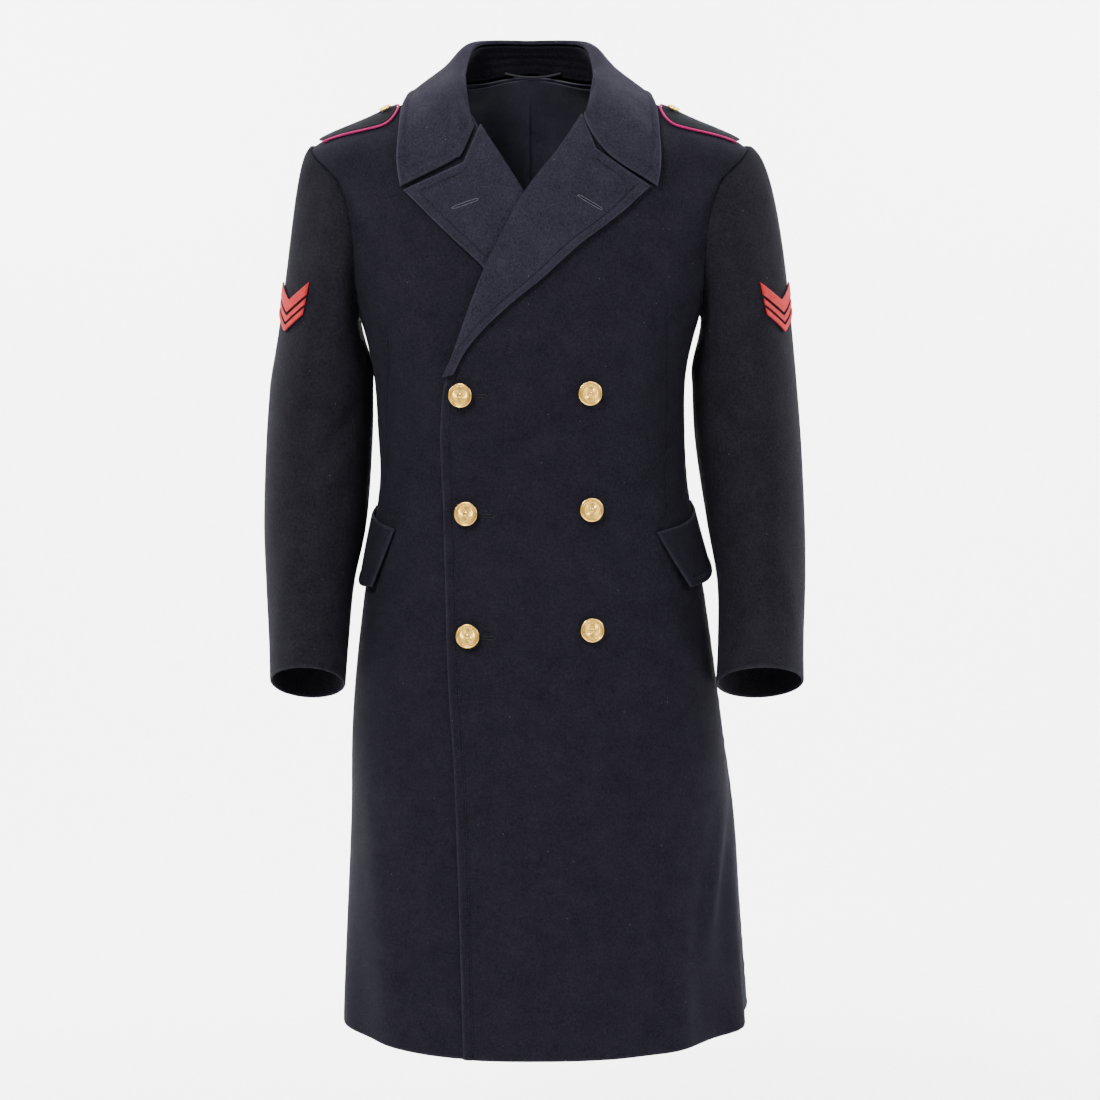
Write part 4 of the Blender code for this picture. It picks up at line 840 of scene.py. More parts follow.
def side_line(rows, front):
    """Angle from the side and height of a panel's outer line: side seam, then armhole."""
    height = np.interp(rows, np.arange(SEAM_ROWS + 1), np.append(SEAM_HEIGHTS, ARMHOLE_BOTTOM))
    round_height, reach = armhole(np.clip(rows - SEAM_ROWS, 0, ARMHOLE_STEPS) * math.pi / ARMHOLE_STEPS)
    deep = section(DEPTH_FRONT if front else DEPTH_BACK, round_height)
    angle = np.degrees(np.arcsin(np.clip(reach / deep, 0, 1) ** (SECTION_POWER / 2)))
    above = rows > SEAM_ROWS
    return np.where(above, angle, 0.0), np.where(above, round_height, height)


def inner_line(rows, edge, neck, neck_rows, side):
    """Angle from the side and height of a panel's inner line: opening or centre seam, then neckline."""
    last = LAST_ROW - neck_rows
    steps = ARMHOLE_STEPS - neck_rows
    knots = np.concatenate([SEAM_HEIGHTS, np.linspace(ARMHOLE_BOTTOM, neck[-1, 1], steps + 1)])
    height = np.interp(rows, np.arange(len(knots)), knots)
    if edge is None:
        angle = np.full(len(rows), 90.0)
    else:
        x = smooth(edge[:, 0], edge[:, 1], height) * side
        share = np.clip(np.abs(x / half_width(x * side, height)), 0, 1) ** (SECTION_POWER / 2)
        angle = np.degrees(np.arccos(np.sign(x) * share))
    turn = np.interp(rows, [last, LAST_ROW], [neck[-1, 0], 0.0])
    above = rows > last
    return np.where(above, turn, angle), np.where(above, smooth(neck[:, 0], neck[:, 1], turn), height)


def panel_places(front, side, inner, outer, share):
    """Angle and height of panel points: straight between the two lines, the hem rising to the sides."""
    angle = inner[0][:, None] * (1 - share) + outer[0][:, None] * share
    height = inner[1][:, None] * (1 - share) + outer[1][:, None] * share
    hem = 1 - ease(height, HEM_FULL, HEM_FROM)
    height = height - HEM_RISE * hem * np.sin(np.radians(angle))
    angle = angle if front else -angle
    return (angle if side > 0 else 180 - angle), height


def seam_pucker(far, run, seams, size=0.00035):
    """Small ripples beside seams: sums of sines along the seam that die away from it."""
    away = nearest(far, seams)
    wave = np.sin(run * 2 * math.pi / 0.023) + 0.7 * np.sin(run * 2 * math.pi / 0.0143 + 1.3)
    return size * wave * bell(away - 0.004, 0.006)


def draw_out(grid, sides, lap=SEAM_LAP / 2):
    """Draw named sides of a grid past their seam line by half a seam's lap, so that no light comes through."""
    moved = grid.copy()
    if "start" in sides:
        moved[:, 0] += unit(grid[:, 0] - grid[:, 2]) * lap
    if "end" in sides:
        moved[:, -1] += unit(grid[:, -1] - grid[:, -3]) * lap
    if "bottom" in sides:
        moved[0] += unit(grid[0] - grid[2]) * lap
    if "top" in sides:
        moved[-1] += unit(grid[-1] - grid[-3]) * lap
    return moved


def build_panel(name, front, side, edge, neck, neck_rows, dart):
    """One front or back: the body's surface inside its cut, with creases, dart, stitches and facing."""
    rows = panel_rows()
    inner = inner_line(rows, edge, neck, neck_rows, side)
    outer = side_line(rows, front)
    even = body(*panel_places(front, side, inner, outer, np.linspace(0, 1, 60)[None]))[0]
    length = arc_lengths(even, 1)
    full = length[:, -1]
    if front:
        step = np.arange(len(rows))[:, None] * 10.0
        dart_x = smooth(dart[:, 0], dart[:, 1], even[:, 0, 2])
        dart_at = np.interp(side * dart_x + step[:, 0], (side * even[..., 0] + step).ravel(), length.ravel())
        inset = np.minimum(STITCH_INSET, full * 0.2)
        dart_at = np.clip(dart_at, inset + 0.25 * (full - inset), full - 0.15 * full)
        places = spaced([0 * full, inset, dart_at, full], [1, 28, 16])
    else:
        places = spaced([0 * full, full], [48])
    share = shares_at(even, places)
    angle, height = panel_places(front, side, inner, outer, share)
    plain, normal = body(angle, height)
    lift = left_lift(plain[..., 0], height) if name == "front_left" else 0.0 * height
    far = edge_distances(plain)
    seams = ("end", "top") if front else ("start", "end", "top")
    edges = ("start", "bottom") if front else ("bottom",)
    lift = lift + body_creases(plain) * ease(far["end"], 0, CREASE_FADE) + seam_pucker(far, height, seams)
    if front:
        lift = lift + stitch_relief(far, ("start",)) * (1 - ease(height, -0.325, -0.300))
        fade = ease(height, dart[0, 0], dart[0, 0] + 0.03) * (1 - ease(height, dart[-1, 0] - 0.03, dart[-1, 0]))
        away = far["start"] - dart_at[:, None]
        lift = lift - DART_DEPTH * fade * bell(away, DART_WIDTH)
        lift = lift + 0.0004 * fade * np.sin(height * 2 * math.pi / 0.021) * bell(np.abs(away) - 0.004, 0.004)
    top = draw_out(plain + normal * lift[..., None], seams)
    turned = far["bottom"] < HEM_WIDTH
    if front:
        turned = turned | (far["start"] < FACING_WIDTH)
    thick = CLOTH + (HEM_CLOTH - CLOTH) * (1 - ease(far["bottom"], HEM_WIDTH - 0.002, HEM_WIDTH))
    under = top - normal * thick[..., None]
    piece = shell(name + "_cloth", top, under, seams, edges, [WOOL_BODY, SATIN_LINING], turned)
    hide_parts(name)
    return piece, top, normal, far


# Sleeves

SLEEVE_RINGS = np.array([
    (-0.330, 0.2340, 0.0570, 0.2270, 0.0560, 0.004, 0.0800, 0.0),
    (-0.400, 0.2390, 0.0580, 0.2305, 0.0580, 0.004, 0.0770, 5.0),
    (-0.486, 0.2475, 0.0535, 0.2350, 0.0560, -0.006, 0.0730, 14.0),
    (-0.550, 0.2525, 0.0480, 0.2395, 0.0480, -0.026, 0.0690, 20.0),
    (-0.613, 0.2505, 0.0465, 0.2395, 0.0430, -0.050, 0.0660, 23.0),
    (-0.656, 0.2485, 0.0475, 0.2395, 0.0405, -0.068, 0.0660, 24.0),
])
SLEEVE_GAP = 0.0005
SLEEVE_STEPS = 2 * ARMHOLE_STEPS
FRONT_SEAM = 3
BACK_SEAM = 16
SMALL_TURN = 0.004
CAP_LEAVE = {1: (0.060, 0.040, -0.035, -0.012, 0.040), -1: (0.040, 0.020, -0.035, -0.012, 0.040)}
CAP_ARRIVE = {1: (0.020, 0.010, 0.0, -0.185, -0.115), -1: (0.038, 0.028, 0.0, -0.185, -0.115)}
# Seam allowance of a sleeve head, tucked into the body: last row, length per row, how much its ring shrinks
TUCK_ROW = -0.06
TUCK_LENGTH = 0.12
TUCK_SHRINK = 0.05
CAP_LENGTH = 0.20
ARM_LENGTH = 0.33
CUFF_WIDTH = 0.040


def sleeve_ring(side, turn, place):
    """Sleeve below the arm's top: an oval, tilted forward, at a place from 0 to 1 down it."""
    key = np.linspace(0, 1, len(SLEEVE_RINGS))
    read = [smooth(key, SLEEVE_RINGS[:, c], place) for c in range(8)]
    x, wide = (read[1], read[2]) if side > 0 else (read[3], read[4])
    forward = read[6] * np.sin(turn)
    tilt = np.radians(read[7])
    return np.stack([side * (x - wide * np.cos(turn)), read[5] - forward * np.cos(tilt),
                     read[0] + forward * np.sin(tilt)], -1)


def cap_direction(side, turn, row):
    """Direction of the sleeve head at a turn, from a row of its table."""
    up = -np.cos(turn)
    out, out_up, forward, down, down_up = row
    return np.stack([side * (out + out_up * up), forward * np.sin(turn), down + down_up * up], -1)


def sleeve_point(side, turn, rows):
    """Sleeve surface: a cubic from armhole to first ring for rows 0 to 1, then the rings for 1 to 2."""
    turn, rows = np.broadcast_arrays(np.asarray(turn, float), np.asarray(rows, float))
    height, reach = armhole(turn)
    y = -reach
    share = (1 - np.abs(y / depth(y, height)) ** SECTION_POWER) ** (1 / SECTION_POWER)
    x = half_width(side + 0 * y, height) * share
    start = np.stack([side * (x + SLEEVE_GAP), y, height], -1)
    end = sleeve_ring(side, turn, np.zeros(turn.shape))
    s = np.clip(rows, 0, 1)[..., None]
    cap = ((1 + 2 * s) * (1 - s) ** 2 * start + s * (1 - s) ** 2 * cap_direction(side, turn, CAP_LEAVE[side])
           + s * s * (3 - 2 * s) * end + s * s * (s - 1) * cap_direction(side, turn, CAP_ARRIVE[side]))
    tuck = np.clip(rows / TUCK_ROW, 0, 1)
    shrink = TUCK_SHRINK * (1 - (1 - tuck) ** 2)
    middle = (ARMHOLE_TOP + ARMHOLE_BOTTOM) / 2
    cap[..., 0] -= side * tuck * -TUCK_ROW * TUCK_LENGTH
    cap[..., 1] *= 1 - shrink
    cap[..., 2] -= (cap[..., 2] - middle) * shrink
    arm = sleeve_ring(side, turn, np.clip(rows - 1, 0, 1))
    return np.where((rows < 1)[..., None], cap, arm)


def sleeve_normal(side, turn, rows):
    """Outward direction of the sleeve by small steps round and down it."""
    down = (sleeve_point(side, turn, np.minimum(rows + SMALL_TURN, 2))
            - sleeve_point(side, turn, np.maximum(rows - SMALL_TURN, TUCK_ROW)))
    around = sleeve_point(side, turn + SMALL_TURN, rows) - sleeve_point(side, turn - SMALL_TURN, rows)
    return unit(np.cross(down, around)) * side


def sleeve_crease_height(side, points):
    """Height of a sleeve's listed creases at points on it."""
    table = SLEEVE_CREASES[side]
    places = [sleeve_point(side, np.radians(table[:, c]), table[:, c + 1]) for c in (0, 2, 4)]
    return crease_height(points, np.stack(places, 1), table[:, 6:8])


def sleeve_lift(side, turn, rows, points):
    """Creases of a sleeve, with small puckers where the head is eased into the armhole."""
    upper = np.clip(-np.cos(turn), 0, 1)
    ripple = 0.0006 * np.sin(turn * 34) * bell(rows - 0.05, 0.07) * upper
    return sleeve_crease_height(side, points) + ripple


def build_sleeve(side, word, part, first, last):
    """One sleeve piece, top or under, from armhole to cuff."""
    step = 2 * math.pi / SLEEVE_STEPS
    width = (last - first) * step
    turn = (first * step + spaced([0, width], [46], CROWD / 0.065))[0][None]
    cap = spaced([TUCK_ROW, 0, 1], [3, 48], CROWD / CAP_LENGTH)[0]
    arm = spaced([0, 1], [74], CROWD / ARM_LENGTH)[0]
    rows = np.unique(np.concatenate([cap[:-6], 1 + arm[6:]]))[:, None]
    plain = sleeve_point(side, turn, rows)
    normal = sleeve_normal(side, turn, rows + 0 * turn)
    far = edge_distances(plain)
    seams = ("start", "end", "bottom")
    lift = sleeve_lift(side, turn, rows, plain) + seam_pucker(far, plain[..., 2], ("start", "end"))
    top = draw_out(plain + normal * lift[..., None], ("start", "end"))
    turned = far["top"] < CUFF_WIDTH
    thick = CLOTH + (HEM_CLOTH - CLOTH) * (1 - ease(far["top"], CUFF_WIDTH - 0.002, CUFF_WIDTH))
    name = f"sleeve_{word}_{part}"
    piece = shell(name + "_cloth", top, top - normal * thick[..., None], seams, ("top",),
                  [WOOL_SLEEVE, SATIN_LINING], turned)
    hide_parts(name)
    return piece


# Lapels

# columns: roll height, edge x, edge height
LAPEL_LEFT = np.array([
    (-0.3220, -0.0745, -0.3200), (-0.3010, -0.0640, -0.2980), (-0.2780, -0.0471, -0.2760),
    (-0.2450, -0.0182, -0.2482), (-0.2134, 0.0148, -0.2216), (-0.1680, 0.0519, -0.1878),
    (-0.1415, 0.0800, -0.1660), (-0.1156, 0.0990, -0.1510), (-0.0885, 0.1130, -0.1380),
    (-0.0540, 0.1260, -0.1265)])
LAPEL_RIGHT = np.array([
    (-0.2950, -0.0600, -0.2930), (-0.2740, -0.0350, -0.2700), (-0.2400, 0.0050, -0.2520),
    (-0.2134, 0.0300, -0.2300), (-0.1780, 0.0480, -0.2090), (-0.1415, 0.0780, -0.1810),
    (-0.1210, 0.0970, -0.1630), (-0.0999, 0.1140, -0.1460), (-0.0650, 0.1300, -0.1305)])
NOTCH_LEFT = (0.0700, -0.0880)
NOTCH_RIGHT = (0.0680, -0.1020)
LAPEL_HOOK = np.array([
    (-0.0044, -0.0022, -0.0012, -0.0022), (-0.0047, 0.0006, -0.0012, -0.0002),
    (-0.0034, 0.0036, -0.0010, 0.0010), (0.0000, 0.0050, 0.0002, 0.0016)])
HOOK_COLUMNS = 12
LAPEL_SEAT = 0.0012
LAPEL_PUFF = 0.0008
LAPEL_SPRING = 0.0014
LAPEL_LENGTH = 0.27


def bent_line(roll, notch, edge, share):
    """Points on the line from roll to notch to edge at shares of its length."""
    corners = np.array([roll, notch, edge])
    length = np.concatenate([[0], np.cumsum(np.linalg.norm(np.diff(corners, axis=0), axis=1))])
    at = share * length[-1]
    return np.stack([np.interp(at, length, corners[:, c]) for c in (0, 1)], -1), length[1] / length[-1]


def build_lapel(name, side, table, notch, edge_table, lift):
    """A lapel: flat places between roll line and edge, heights from its section, hooked round the fold."""
    at = spaced([0, 1 - STITCH_INSET / LAPEL_LENGTH, 1], [66, 1], CROWD / LAPEL_LENGTH)[0]
    key = np.linspace(0, 1, len(table))
    read = smooth(key, table, at)
    roll = np.stack([side * smooth(edge_table[:, 0], edge_table[:, 1], read[:, 0]), read[:, 0]], -1)
    edge = read[:, 1:]
    width = np.linalg.norm(edge - roll, axis=1)
    inset = np.minimum(STITCH_INSET, 0.45 * width)
    first = np.minimum(0.0035, 0.2 * width)
    share = spaced([first / width, 1 - inset / width, 1 + 0 * width], [34, 1], CROWD / 0.09)
    end, notch_share = bent_line(roll[-1], notch, edge[-1], share)
    straight_last = roll[-1] * (1 - share[..., None]) + edge[-1] * share[..., None]
    flat = (roll[:, None] * (1 - share[..., None]) + edge[:, None] * share[..., None]
            + (at ** 2)[:, None, None] * (end - straight_last))
    outward = unit(flat[:, 3] - flat[:, 0])
    hook = smooth(np.arange(4), LAPEL_HOOK, np.linspace(0, 3, HOOK_COLUMNS))
    rest = LAPEL_SEAT + LAPEL_PUFF * (1 - share) ** 2 + LAPEL_SPRING * share ** 3
    sheets = []
    for sheet, thick in ((0, DOUBLED), (1, 0.0)):
        place = np.concatenate([roll[:, None] + outward[:, None] * hook[:, 2 * sheet][None, :, None], flat], 1)
        height = np.concatenate([np.broadcast_to(hook[:, 2 * sheet + 1], (len(at), HOOK_COLUMNS)), rest + thick], 1)
        x, z = side * place[..., 0], place[..., 1]
        point, normal = on_front(x, z, lift(x, z) + height)
        sheets.append(point)
    far = edge_distances(sheets[0])
    beyond = np.concatenate([np.zeros(HOOK_COLUMNS), np.ones(share.shape[1])])[None] * ease(
        np.concatenate([np.zeros((len(at), HOOK_COLUMNS)), share], 1), notch_share, notch_share + 0.04)
    far_top = {"end": far["end"], "top": far["top"] + 0.05 * (1 - beyond)}
    puff = stitch_relief(far_top, ("end", "top"))
    wave = 0.0009 * np.sin(far["bottom"] * 2 * math.pi / 0.17 + 0.8) * np.clip(far["end"] / 0.05, 0, 1)
    top = sheets[0] + normal * (puff + np.maximum(wave, 0) * ease(far["start"], 0.01, 0.04))[..., None]
    # The lapel's wool carries painted light: it is the body's wool made lighter.
    piece = shell(name + "_cloth", top, sheets[1], (), ("end", "top"), [WOOL_LAPEL_LIT])
    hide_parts(name)
    return piece, top, normal, far_top


# Collar

# columns: roll x, y, z, middle of the leaf x, y, z, leaf edge x, y, z
COLLAR = np.array([
    (0.0000, 0.0650, 0.0370, 0.0000, 0.0900, 0.0120, 0.0000, 0.1085, -0.0450),
    (0.0360, 0.0600, 0.0370, 0.0520, 0.0850, 0.0110, 0.0660, 0.1030, -0.0460),
    (0.0560, 0.0460, 0.0335, 0.0800, 0.0570, 0.0120, 0.1050, 0.0800, -0.0400),
    (0.0640, 0.0220, 0.0220, 0.0930, 0.0250, 0.0060, 0.1290, 0.0300, -0.0255),
    (0.0675, -0.0120, 0.0020, 0.0980, -0.0150, -0.0075, 0.1335, -0.0300, -0.0315),
    (0.0660, -0.0480, -0.0150, 0.0950, -0.0680, -0.0320, 0.1375, -0.0820, -0.0680),
    (0.0630, -0.0750, -0.0330, 0.0880, -0.0930, -0.0600, 0.1382, -0.1010, -0.0990),
    (0.0582, -0.0915, -0.0505, 0.0820, -0.1060, -0.0905, 0.1345, -0.1065, -0.1255)])
COLLAR_NOTCH = (0.0710, -0.1025, -0.0835)
COLLAR_SEAM = np.array([(0.0, -90.0), (0.43, -15.0), (0.60, 12.0), (0.74, 42.0), (1.0, 74.6)])
RIGHT_DROP = 0.0110
NOTCH_DROP = 0.0130
DROP_FROM = 0.62
DROP_MIDDLE = 0.75
CROWN_AT = 0.12
CROWN_SHARE = 0.08
CROWN_OUT = 0.0060
CROWN_UP = 0.0012
END_FROM = 0.93
END_SHARE = 0.35
END_REACH = 0.28
CORNER_SHARE = 0.36
LEAF_HOOK = 0.0036
LEAF_BACK = 0.0015
LEAF_CLEAR = 0.0022
STAND_REACH = 0.735
STAND_CLEAR = 0.0026
STAND_SEAT = 0.0021
COLLAR_HALF = 0.30


def collar_lines(at):
    """Neck seam, roll, middle and edge of the collar at places from -1, right front end, to 1, left."""
    side = np.where(at < 0, -1.0, 1.0)
    place = np.abs(at)
    read = smooth(np.linspace(0, 1, len(COLLAR)), COLLAR, place).reshape(-1, 3, 3)
    read[..., 0] *= side[:, None]
    drop = np.where(at < 0, RIGHT_DROP * ease(place, DROP_FROM, 1.0), 0.0)
    read[:, 0, 2] -= drop
    read[:, 1, 2] -= drop * DROP_MIDDLE
    turn = np.concatenate([-NECK_BACK[::-1, 0], NECK_FRONT[1:, 0]])
    rise = np.concatenate([NECK_BACK[::-1, 1], NECK_FRONT[1:, 1]])
    angle = smooth(COLLAR_SEAM[:, 0], COLLAR_SEAM[:, 1], place)
    neck = body(np.where(side > 0, angle, 180 - angle), smooth(turn, rise, angle))[0]
    return neck, read[:, 0], read[:, 1], read[:, 2]


def grid_normal(grid):
    """Unit normals of a grid of points, from the cross product of its two directions."""
    return unit(np.cross(np.gradient(grid, axis=1), np.gradient(grid, axis=0)))


def build_collar():
    """Collar leaf: up over the roll and down to its edge, clear of the shoulders, with topstitched edges."""
    inset = STITCH_INSET / COLLAR_HALF
    at = spaced([-1, -1 + inset, 1 - inset, 1], [1, 124, 1], CROWD / COLLAR_HALF)[0]
    _, roll, middle, edge = collar_lines(at)
    width = np.linalg.norm(middle - roll, axis=1) + np.linalg.norm(edge - middle, axis=1)
    share = spaced([0 * width, 1 - STITCH_INSET / width, 1 + 0 * width], [44, 1], CROWD / 0.09)
    level = (middle - roll) * (1, 1, 0)
    out = unit(level)
    crown = roll + out * CROWN_OUT + level * CROWN_SHARE + np.array([0, 0, CROWN_UP])
    end = ease(np.abs(at), END_FROM, 1.0)[:, None]
    notch = np.stack([np.where(at < 0, -1, 1) * COLLAR_NOTCH[0], np.full(len(at), COLLAR_NOTCH[1]),
                      COLLAR_NOTCH[2] - np.where(at < 0, NOTCH_DROP, 0)], -1)
    reach = END_SHARE + END_REACH * (at < 0)[:, None]
    crown = crown * (1 - end) + (roll * (1 - reach) + notch * reach) * end
    middle = middle + (notch - middle) * CORNER_SHARE * (at < 0)[:, None] * end
    leaf = smooth_rows(np.array([0.0, CROWN_AT, 0.5, 1.0]), np.stack([roll, crown, middle, edge], 1), share)
    start = roll - np.array([0, 0, LEAF_HOOK]) * (1 - end) - out * LEAF_BACK * end
    hooked = start[:, None] * (1 - np.linspace(0, 1, 5)[:-1, None]) + roll[:, None] * np.linspace(0, 1, 5)[:-1, None]
    leaf = np.concatenate([hooked, leaf], 1)
    normal = grid_normal(leaf)
    if normal[len(at) // 2, -1, 2] < 0:
        normal = -normal
    for _ in range(3):
        normal[:, 1:-1] = unit(normal[:, :-2] + normal[:, 1:-1] * 2 + normal[:, 2:])
    under = leaf - normal * DOUBLED
    slope = body_slope(under)
    away = (body_field(under) - 1) / np.linalg.norm(slope, axis=-1)
    need = np.where(under[..., 2] < NECK_TOP, np.maximum(LEAF_CLEAR - away, 0), 0)
    moved = unit(slope) * need[..., None]
    far = edge_distances(leaf)
    free = np.concatenate([np.zeros((len(at), 4)), ease(share, 0.36, 0.42)], 1)
    far_free = {"end": far["end"], "bottom": far["bottom"] + 0.05 * (1 - free), "top": far["top"] + 0.05 * (1 - free)}
    puff = stitch_relief(far_free, ("end", "bottom", "top"))
    wave = 0.0010 * np.maximum(np.sin(at * 9.0 + 0.6), 0)[:, None] * ease(far["start"], 0.02, 0.05) * ease(
        far["end"], 0.0, 0.03)
    top = leaf + moved + normal * (puff + wave)[..., None]
    # The collar's wool carries painted light: it is the body's wool made lighter.
    piece = shell("collar_cloth", top, under + moved, (), ("end", "bottom", "top"), [WOOL_LAPEL_LIT])
    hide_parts("collar")
    return piece, top, normal, far_free


def build_stand():
    """Collar stand: an upright band inside the collar, from the neck seam to just under the roll."""
    at = np.linspace(-STAND_REACH, STAND_REACH, 190)
    neck, roll, _, _ = collar_lines(at)
    top = roll - np.array([0, 0, LEAF_HOOK + STAND_CLEAR])
    foot = neck + np.array([0, 0, STAND_SEAT])
    share = spaced([0, 1], [22], CROWD / 0.035)[0][None, :, None]
    inside = foot[:, None] * (1 - share) + top[:, None] * share
    outward = grid_normal(inside)
    if outward[len(at) // 2, 0, 1] < 0:
        outward = -outward
    hollow = 0.0012 * np.sin(math.pi * share)
    quilt = 0.0003 * np.sin(share * 2 * math.pi * 4)
    inside = inside + outward * (hollow + quilt) * np.sin(math.pi * share) ** 0.5
    # The stand's wool carries painted shade: it is the body's wool made darker.
    piece = shell("collar_stand_cloth", inside + outward * CLOTH, inside, ("end",), ("start", "bottom", "top"),
                  [WOOL_STAND_SHADED])
    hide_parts("collar_stand")
    return piece


# Pocket flaps

# columns: share across, angle at top, height at top, angle at foot, height at foot
FLAP_LEFT = np.array([(0.0, 45.5, -0.4880, 33.0, -0.5500), (0.5, 20.0, -0.4800, 12.0, -0.5460),
                      (1.0, -12.0, -0.4660, -12.0, -0.5340)])
FLAP_RIGHT = np.array([(0.0, 37.0, -0.4860, 27.0, -0.5510), (0.5, 16.0, -0.4800, 8.0, -0.5540),
                       (1.0, -12.0, -0.4720, -12.0, -0.5450)])
FLAP_SEAT = 0.0012
FLAP_CURL = 1.5


def build_flap(name, side, table, stand_off):
    """A pocket flap: sewn close at the top, standing off the hip at its foot."""
    across = spaced([0, STITCH_INSET / 0.15, 1 - STITCH_INSET / 0.15, 1], [1, 40, 1], CROWD / 0.15)[0][None]
    down = spaced([0, 1 - STITCH_INSET / 0.07, 1], [28, 1], CROWD / 0.07)[0][:, None]
    read = smooth(table[:, 0], table, across[0])
    angle = read[None, :, 1] * (1 - down) + read[None, :, 3] * down
    height = read[None, :, 2] * (1 - down) + read[None, :, 4] * down
    lift = FLAP_SEAT + stand_off * down ** FLAP_CURL + 0 * angle
    under, normal = body(angle if side > 0 else 180 - angle, height, lift)
    far = edge_distances(under)
    bow = 0.0010 * np.sin(math.pi * across) * np.sin(math.pi * np.clip(down * 1.1, 0, 1))
    top = under + normal * (DOUBLED + stitch_relief(far, ("start", "end", "top")) + bow)[..., None]
    piece = shell(name + "_cloth", top, under, (), ("start", "end", "bottom", "top"), [WOOL_BODY])
    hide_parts(name)
    return piece, top, normal, far


# Shoulder straps and their piping

STRAP_OUTER = 0.2250
STRAP_SWEEP = 0.0060
STRAP_INNER = 0.1400
STRAP_ROUND = 0.0140
STRAP_HALF = (0.0270, 0.0235)
STRAP_MIDDLE = (-0.0090, -0.0370)
STRAP_BEND = 1.4
STRAP_THICK = 0.0026
STRAP_SEAT = 0.0008
PIPING_RADIUS = 0.0013
SHOULDER_HEIGHTS = (-0.150, -0.012)
HALVINGS = 36
STRAP_BUTTON_PLACE = (0.1510, -0.036)


def on_shoulder(x, y):
    """Point and normal of the body above a place seen from the top, by halving the height's range."""
    x, y = np.broadcast_arrays(x, y)
    low = np.full(x.shape, SHOULDER_HEIGHTS[0])
    high = np.full(x.shape, SHOULDER_HEIGHTS[1])
    for _ in range(HALVINGS):
        middle = (low + high) / 2
        inside = body_field(np.stack([x, y, middle], -1)) < 1
        low = np.where(inside, middle, low)
        high = np.where(inside, high, middle)
    point = np.stack([x, y, low], -1)
    return point, unit(body_slope(point))


def strap_place(side, along, across):
    """Place seen from the top on a strap: an arc at its inner end, narrower and more forward inwards."""
    end = STRAP_INNER + STRAP_ROUND * (1 - np.sqrt(np.maximum(1 - across ** 2, 0)))
    start = STRAP_OUTER - STRAP_SWEEP * across ** 2
    x = start + (end - start) * along
    middle = STRAP_MIDDLE[1] + (STRAP_MIDDLE[0] - STRAP_MIDDLE[1]) * (1 - along) ** STRAP_BEND
    return side * x, middle + across * (STRAP_HALF[0] + (STRAP_HALF[1] - STRAP_HALF[0]) * along)


def build_strap(side, word):
    """A felt strap on the shoulder with crimson cord round three sides."""
    along = spaced([0, 1], [40], CROWD / 0.085)[0][:, None]
    across = (2 * spaced([0, 1], [30], CROWD / 0.054)[0] - 1)[None]
    base, normal = on_shoulder(*strap_place(side, along, across))
    crown = 0.0006 * (1 - across ** 2) + 0 * along
    top = base + normal * (STRAP_SEAT + STRAP_THICK + crown)[..., None]
    name = f"strap_{word}"
    strap = shell(name + "_cloth", top, base + normal * STRAP_SEAT, (), ("start", "end", "bottom", "top"), [FELT])
    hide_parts(name)
    out = np.linspace(0, 1, 60)
    arc = np.sin(np.linspace(-math.pi / 2, math.pi / 2, 60)[1:-1])
    along = np.concatenate([out, np.ones(len(arc)), out[::-1]])
    across = np.concatenate([-np.ones(60), arc, np.ones(60)])
    x, y = strap_place(side, along, across)
    ahead = unit(np.gradient(np.stack([x, y], -1), axis=0))
    push = side * (PIPING_RADIUS + 0.0004)
    base, normal = on_shoulder(x - ahead[:, 1] * push, y + ahead[:, 0] * push)
    path = base + normal * (STRAP_SEAT + PIPING_RADIUS)
    name = f"piping_{word}"
    piping = cord_mesh(name + "_cord", path, normal, PIPING_RADIUS, CRIMSON)
    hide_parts(name)
    return strap, piping


# Buttons

# Section of a button's face and back, columns: radius, height, how dull its place is: tarnish in its hollows, painted
# shade on its underside and lower sides
BUTTON_FACE = np.array([
    (0.00005, 0.00640, 0.0), (0.0014, 0.00632, 0.0), (0.0022, 0.00600, 0.3), (0.0027, 0.00566, 0.9),
    (0.0034, 0.00560, 0.6), (0.0060, 0.00558, 0.6), (0.0084, 0.00556, 0.6), (0.0090, 0.00552, 1.0),
    (0.0096, 0.00575, 0.4), (0.0101, 0.00545, 1.0), (0.0106, 0.00560, 0.7), (0.0111, 0.00615, 0.2),
    (0.0118, 0.00628, 0.0), (0.0123, 0.00600, 0.0), (0.0125, 0.00540, 0.1), (0.0123, 0.00470, 0.3),
    (0.0116, 0.00380, 0.6), (0.0098, 0.00300, 0.9), (0.0060, 0.00270, 1.0), (0.0040, 0.00260, 1.0),
    (0.0035, 0.00210, 1.0), (0.0034, 0.00040, 1.0), (0.0026, 0.00010, 1.0), (0.00005, 0.00005, 1.0)])
RAYS = 32
RAY_HEIGHT = 0.00040
RAY_ZONE = (0.0030, 0.0086)
BEADS = 56
BEAD_HEIGHT = 0.00032
BEAD_RADIUS = 0.0096
FACE_STEPS = 168
FACE_ROWS = 66
BUTTONS = {
    "button_right_1": (-0.0676, -0.3411),
    "button_right_2": (-0.0638, -0.4655),
    "button_right_3": (-0.0625, -0.5929),
    "button_left_1": (0.0607, -0.3390),
    "button_left_2": (0.0637, -0.4612),
    "button_left_3": (0.0648, -0.5867),
}
STRAP_BUTTON_SCALE = 0.58


